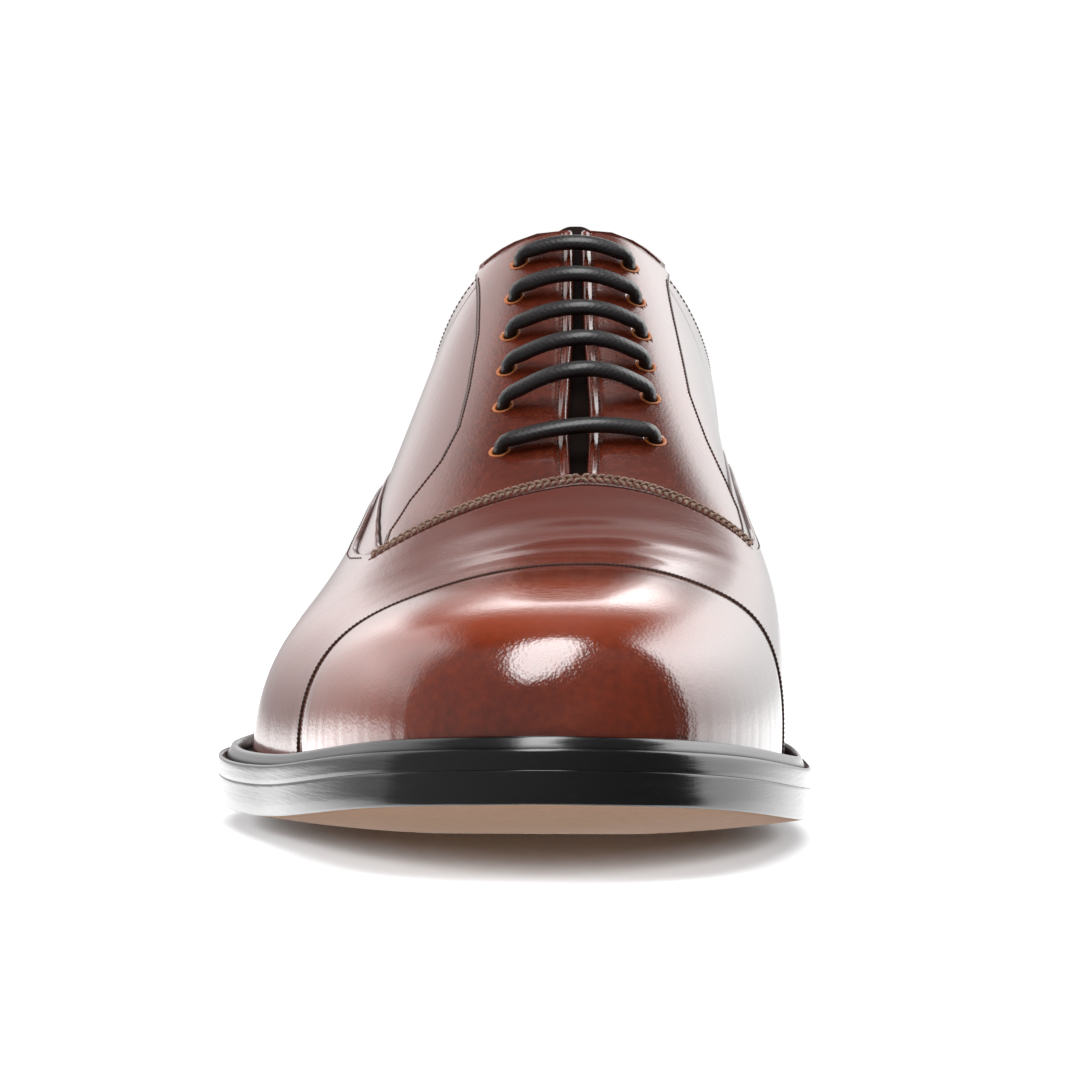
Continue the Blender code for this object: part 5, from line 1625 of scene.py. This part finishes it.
def over_the_ridge(side, corner):
    """Loops and shares of one column from the outer side, over the ridge, down the inner side."""
    up = np.linspace(corner, RIDGE, SEAM_POINTS)
    down = np.linspace(RIDGE, corner, SEAM_POINTS)[1:]
    loop = np.concatenate((np.full(len(up), side), np.full(len(down), LOOP - side)))
    return loop, np.concatenate((up, down))


def edge_rows():
    """Single rows beside the galosh's edge, the facings' edges, the slit and the collar, and over the cap."""
    rows = []
    for medial in (False, True):
        loop = unfold(to_heel(THROAT - 1.0, 300), medial)
        vamp = edges(loop)[0]
        path = on_skin(loop, vamp - GALOSH_IN / arch_rate(loop, vamp), VAMP_STEP)
        rows.append(row_of_stitches(*path, *GALOSH_STITCH))
        loop = unfold(side_at(np.linspace(THROAT - 2.0, 109.0, 200)), medial)
        vamp, facing, top = edges(loop)
        rate = top_rate(loop, top)
        path = on_skin(loop, np.maximum(facing, vamp + FACING_CLEAR) + FACING_IN / rate, FACING_TOP)
        rows.append(row_of_stitches(*path, *FACING_STITCH))
        path = on_skin(loop, top - ROW_AT / rate, FACING_TOP - SLIT_SINK)
        rows.append(row_of_stitches(*path, *SLIT_STITCH))
        loop = unfold(to_heel(103.0, 160), medial)
        top = edges(loop)[2]
        path = on_skin(loop, top - COLLAR_DOWN / arch_rate(loop, top), 0.0)
        rows.append(row_of_stitches(*path, *COLLAR_STITCH))
    path = on_skin(*over_the_ridge(CAP_ROW, CAP_ROW_LOW), float(cap_height(CAP_ROW)) + CAP_ROW_OVER)
    rows.append(row_of_stitches(*path, *CAP_STITCH))
    return rows


def throat_rows():
    """Slanted heavy strands in front of the throat's edge."""
    rows = []
    for away, slant in THROAT_STRANDS:
        side = THROAT_SIDE - away / SIDE_RATE
        for loop, corner, turn in ((side, CORNER_LATERAL, slant), (LOOP - side, CORNER_MEDIAL, -slant)):
            path = on_skin(loop, np.linspace(corner, RIDGE, SEAM_POINTS), VAMP_STEP)
            rows.append(row_of_stitches(*path, *THROAT_STITCH, turn))
    return rows


def welt_rows():
    """A row in the welt's groove, both sides."""
    rows = []
    side = np.linspace(0.01, 0.9, 400)
    for medial in (False, True):
        reach = extension(side, medial)
        out = BEAD_START + WELT_ROW_AT * (reach - BEAD_START)
        path = under_welt(outline(side, medial, out), WELT_ROW_DEPTH)
        up = np.broadcast_to((0.0, 0.0, 1.0), path.shape)
        rows.append(row_of_stitches(path, up, *WELT_STITCH))
    return rows


sew_stitches("seam_stitches", edge_rows(), THREAD_DARK)
sew_stitches("throat_stitches", throat_rows(), THREAD)
sew_stitches("welt_stitches", welt_rows(), THREAD_DARK)

# %% [markdown]
# ## Floor
# The photograph's shoe stands on white paper. The paper takes the shoe's shadow but is left out of reflections,
# of bounced light and of shadows of its own, so that it stays a background.

# %% Floor
def pale_floor():
    """White studio paper, faintly uneven."""
    finish = Finish("white_studio_floor", {"IOR": 1.3})
    cloud = finish.noise(3.0, 2.0)
    return finish.feed(finish.blend(cloud, (0.84, 0.85, 0.87), (0.87, 0.88, 0.90)), 0.9)


FLOOR_HALF = 1.0
FLOOR_UNDER = -0.00005
corners = np.array(((-1.0, -1.0), (1.0, -1.0), (1.0, 1.0), (-1.0, 1.0))) * FLOOR_HALF
floor_mesh = bpy.data.meshes.new("studio_floor")
floor_mesh.from_pydata(np.concatenate((corners, np.full((4, 1), FLOOR_UNDER)), 1), [], [(0, 1, 2, 3)])
floor_mesh.materials.append(pale_floor())
floor = bpy.data.objects.new("studio_floor", floor_mesh)
scene.collection.objects.link(floor)
floor.visible_glossy = False
floor.visible_diffuse = False
floor.visible_shadow = False
print("floor:", 2.0 * FLOOR_HALF, "m wide")

# %% [markdown]
# ## Lamps
# The lamps give the matt colour and the shadow, and the polish does not show them: a large sheet overhead, a wing
# on the left, a low one in front, and two small ones that stand for light thrown back up by the paper under the
# toe. Three more light the paper alone, through light linking, so that the shadow stays grey and soft while the
# leather keeps its depth.

# %% Lamps
paper_only = bpy.data.collections.new("lit_paper")
paper_only.objects.link(floor)


def soft_light(name, place, aim, width, height, radiance, paper):
    """Matt light: faces a point, power is radiance times pi times its area; it may light the paper alone."""
    light = bpy.data.lights.new(name, "AREA")
    light.shape = "RECTANGLE"
    light.size = width
    light.size_y = height
    light.energy = radiance * np.pi * width * height
    lamp = bpy.data.objects.new(name, light)
    turn = (Vector(place) - Vector(aim)).to_track_quat("Z", "Y")
    lamp.matrix_world = Matrix.Translation(place) @ turn.to_matrix().to_4x4()
    lamp.visible_camera = False
    lamp.visible_glossy = False
    if paper:
        lamp.light_linking.receiver_collection = paper_only
    scene.collection.objects.link(lamp)


LAMPS = (
    # name, place, aim, width, height, radiance, lights the paper alone
    ("sheet_overhead", (-0.05, 0.7, 3.0), (-0.05, -0.1, 0.0), 4.4, 4.4, 3.1, False),
    ("wing_left", (-1.7, 0.4, 0.6), (0.0, -0.08, 0.03), 1.2, 0.8, 8.0, False),
    ("front_low", (0.0, -2.2, 0.8), (0.0, -0.10, 0.0), 1.8, 0.7, 3.5, False),
    ("paper_left", (-1.7, -0.6, 0.8), (0.0, -0.10, 0.0), 1.4, 0.9, 9.0, True),
    ("paper_right", (1.7, -0.6, 0.8), (0.0, -0.10, 0.0), 1.4, 0.9, 11.0, True),
    ("paper_front", (0.0, -2.2, 0.7), (0.0, -0.10, 0.0), 1.8, 0.7, 3.0, True),
    ("bounce_left", (-0.075, -0.22, -0.03), (-0.045, -0.10, 0.03), 0.08, 0.08, 2.1, False),
    ("bounce_right", (0.085, -0.22, -0.03), (0.060, -0.10, 0.03), 0.08, 0.08, 1.6, False),
)
for lamp in LAMPS:
    soft_light(*lamp)
print("lamps:", len(LAMPS))

# %% [markdown]
# ## Room in the polish
# What the polish reflects tells where the studio's lights were: a small soft box over the toe, a bright wall
# behind on the right, a dimmer one on the left, a narrow band between them that lights the ridge, and darkness in
# front. The room is a pattern of directions in the world's background, which the camera sees as plain white. Real
# panels would do the same, but their soft edges are easier to place as curves.


# %% Room in the polish
def studio(world):
    """White to the camera; to the polish, panels by direction: sides over height, and turn round the shoe."""
    room = Recipe(world.node_tree)
    rise = room.rise
    right, back, up = room.axes(room.node("TexCoord", output="Generated"))
    lift = up.math("MAXIMUM", up, 0.04)
    x, y = right / lift, back / lift * -1.0
    flat = (right * right + back * back + 1e-6) ** 0.5
    behind, aside = back / flat, right / flat
    # an oval soft box over the toe, turned a little
    tilt = x + 0.03 + 0.16 * y
    off = ((tilt / 0.175) ** 2.0 + ((y - 0.35) / 0.57) ** 2.0) ** 0.5
    soft_box = 10.4 * (1.0 - rise(off, 0.82, 1.10))
    # the bright wall on the right
    panel = rise(x, 0.26, 0.56) * rise(0.27 * x.log() + 0.02 - y, -0.08, 0.08)
    bright = (1.9 + 5.6 * aside * aside) * (0.42 + 0.58 * rise(up, -0.05, 0.70))
    # the dimmer one on the left
    left = x * -1.0
    panel_left = rise(0.20 * rise(y, -1.6, -1.1) + left, 0.52, 0.90) * rise(0.20 * left.log() - 0.10 - y, -0.30, 0.26)
    dim = 1.3 + 0.8 * aside.hill(-0.92, 0.22) + 0.3 * aside.hill(-0.33, 0.10)
    dim = dim * (0.35 + 0.65 * rise(up, -0.02, 0.36))
    # between them, an arched band behind the ridge
    arch = up - 2.0 * aside * aside
    band = 2.9 * rise(arch, 0.31, 0.37) * (1.0 - rise(arch, 0.42, 0.50)) * aside.hill(0.0, 0.14)
    middle = (0.54 - 0.32 * rise(up, 0.60, 0.67)) * (0.45 + 0.55 * aside.hill(0.0, 0.16))
    strip = (middle + band + 0.6 * (1.0 - rise(up, 0.04, 0.26))) * rise(behind, 0.60, 0.95)
    # a dark front, and pale paper below on all other sides
    front = (0.26 - 0.16 * right) * rise(behind * -1.0, -0.5, 0.3)
    low = 1.1 - 0.25 * aside + 1.1 * rise(aside * -1.0, 0.30, 0.60)
    low = low * rise(up * -1.0, -0.01, 0.09) * rise(behind, -0.15, 0.20)
    dark = (1.0 - panel) * (1.0 - panel_left)
    level = soft_box + panel * bright + panel_left * dim + dark * (strip + front) + low + 0.04
    seen = room.node("LightPath", output="Is Camera Ray")
    sky = room.tree.nodes["Background"]
    put(room.tree, sky.inputs["Strength"], seen + (1.0 - seen) * level)
    put(room.tree, sky.inputs["Color"], (1.0, 1.0, 1.0))
    world.cycles_visibility.diffuse = False


scene.world = bpy.data.worlds.new("studio")
scene.world.use_nodes = True
studio(scene.world)
scene.view_settings.view_transform = "Standard"
print("room nodes:", len(scene.world.node_tree.nodes))

# %% Sizes and finish
print("triangles in all:", sum(TRIANGLES.values()))
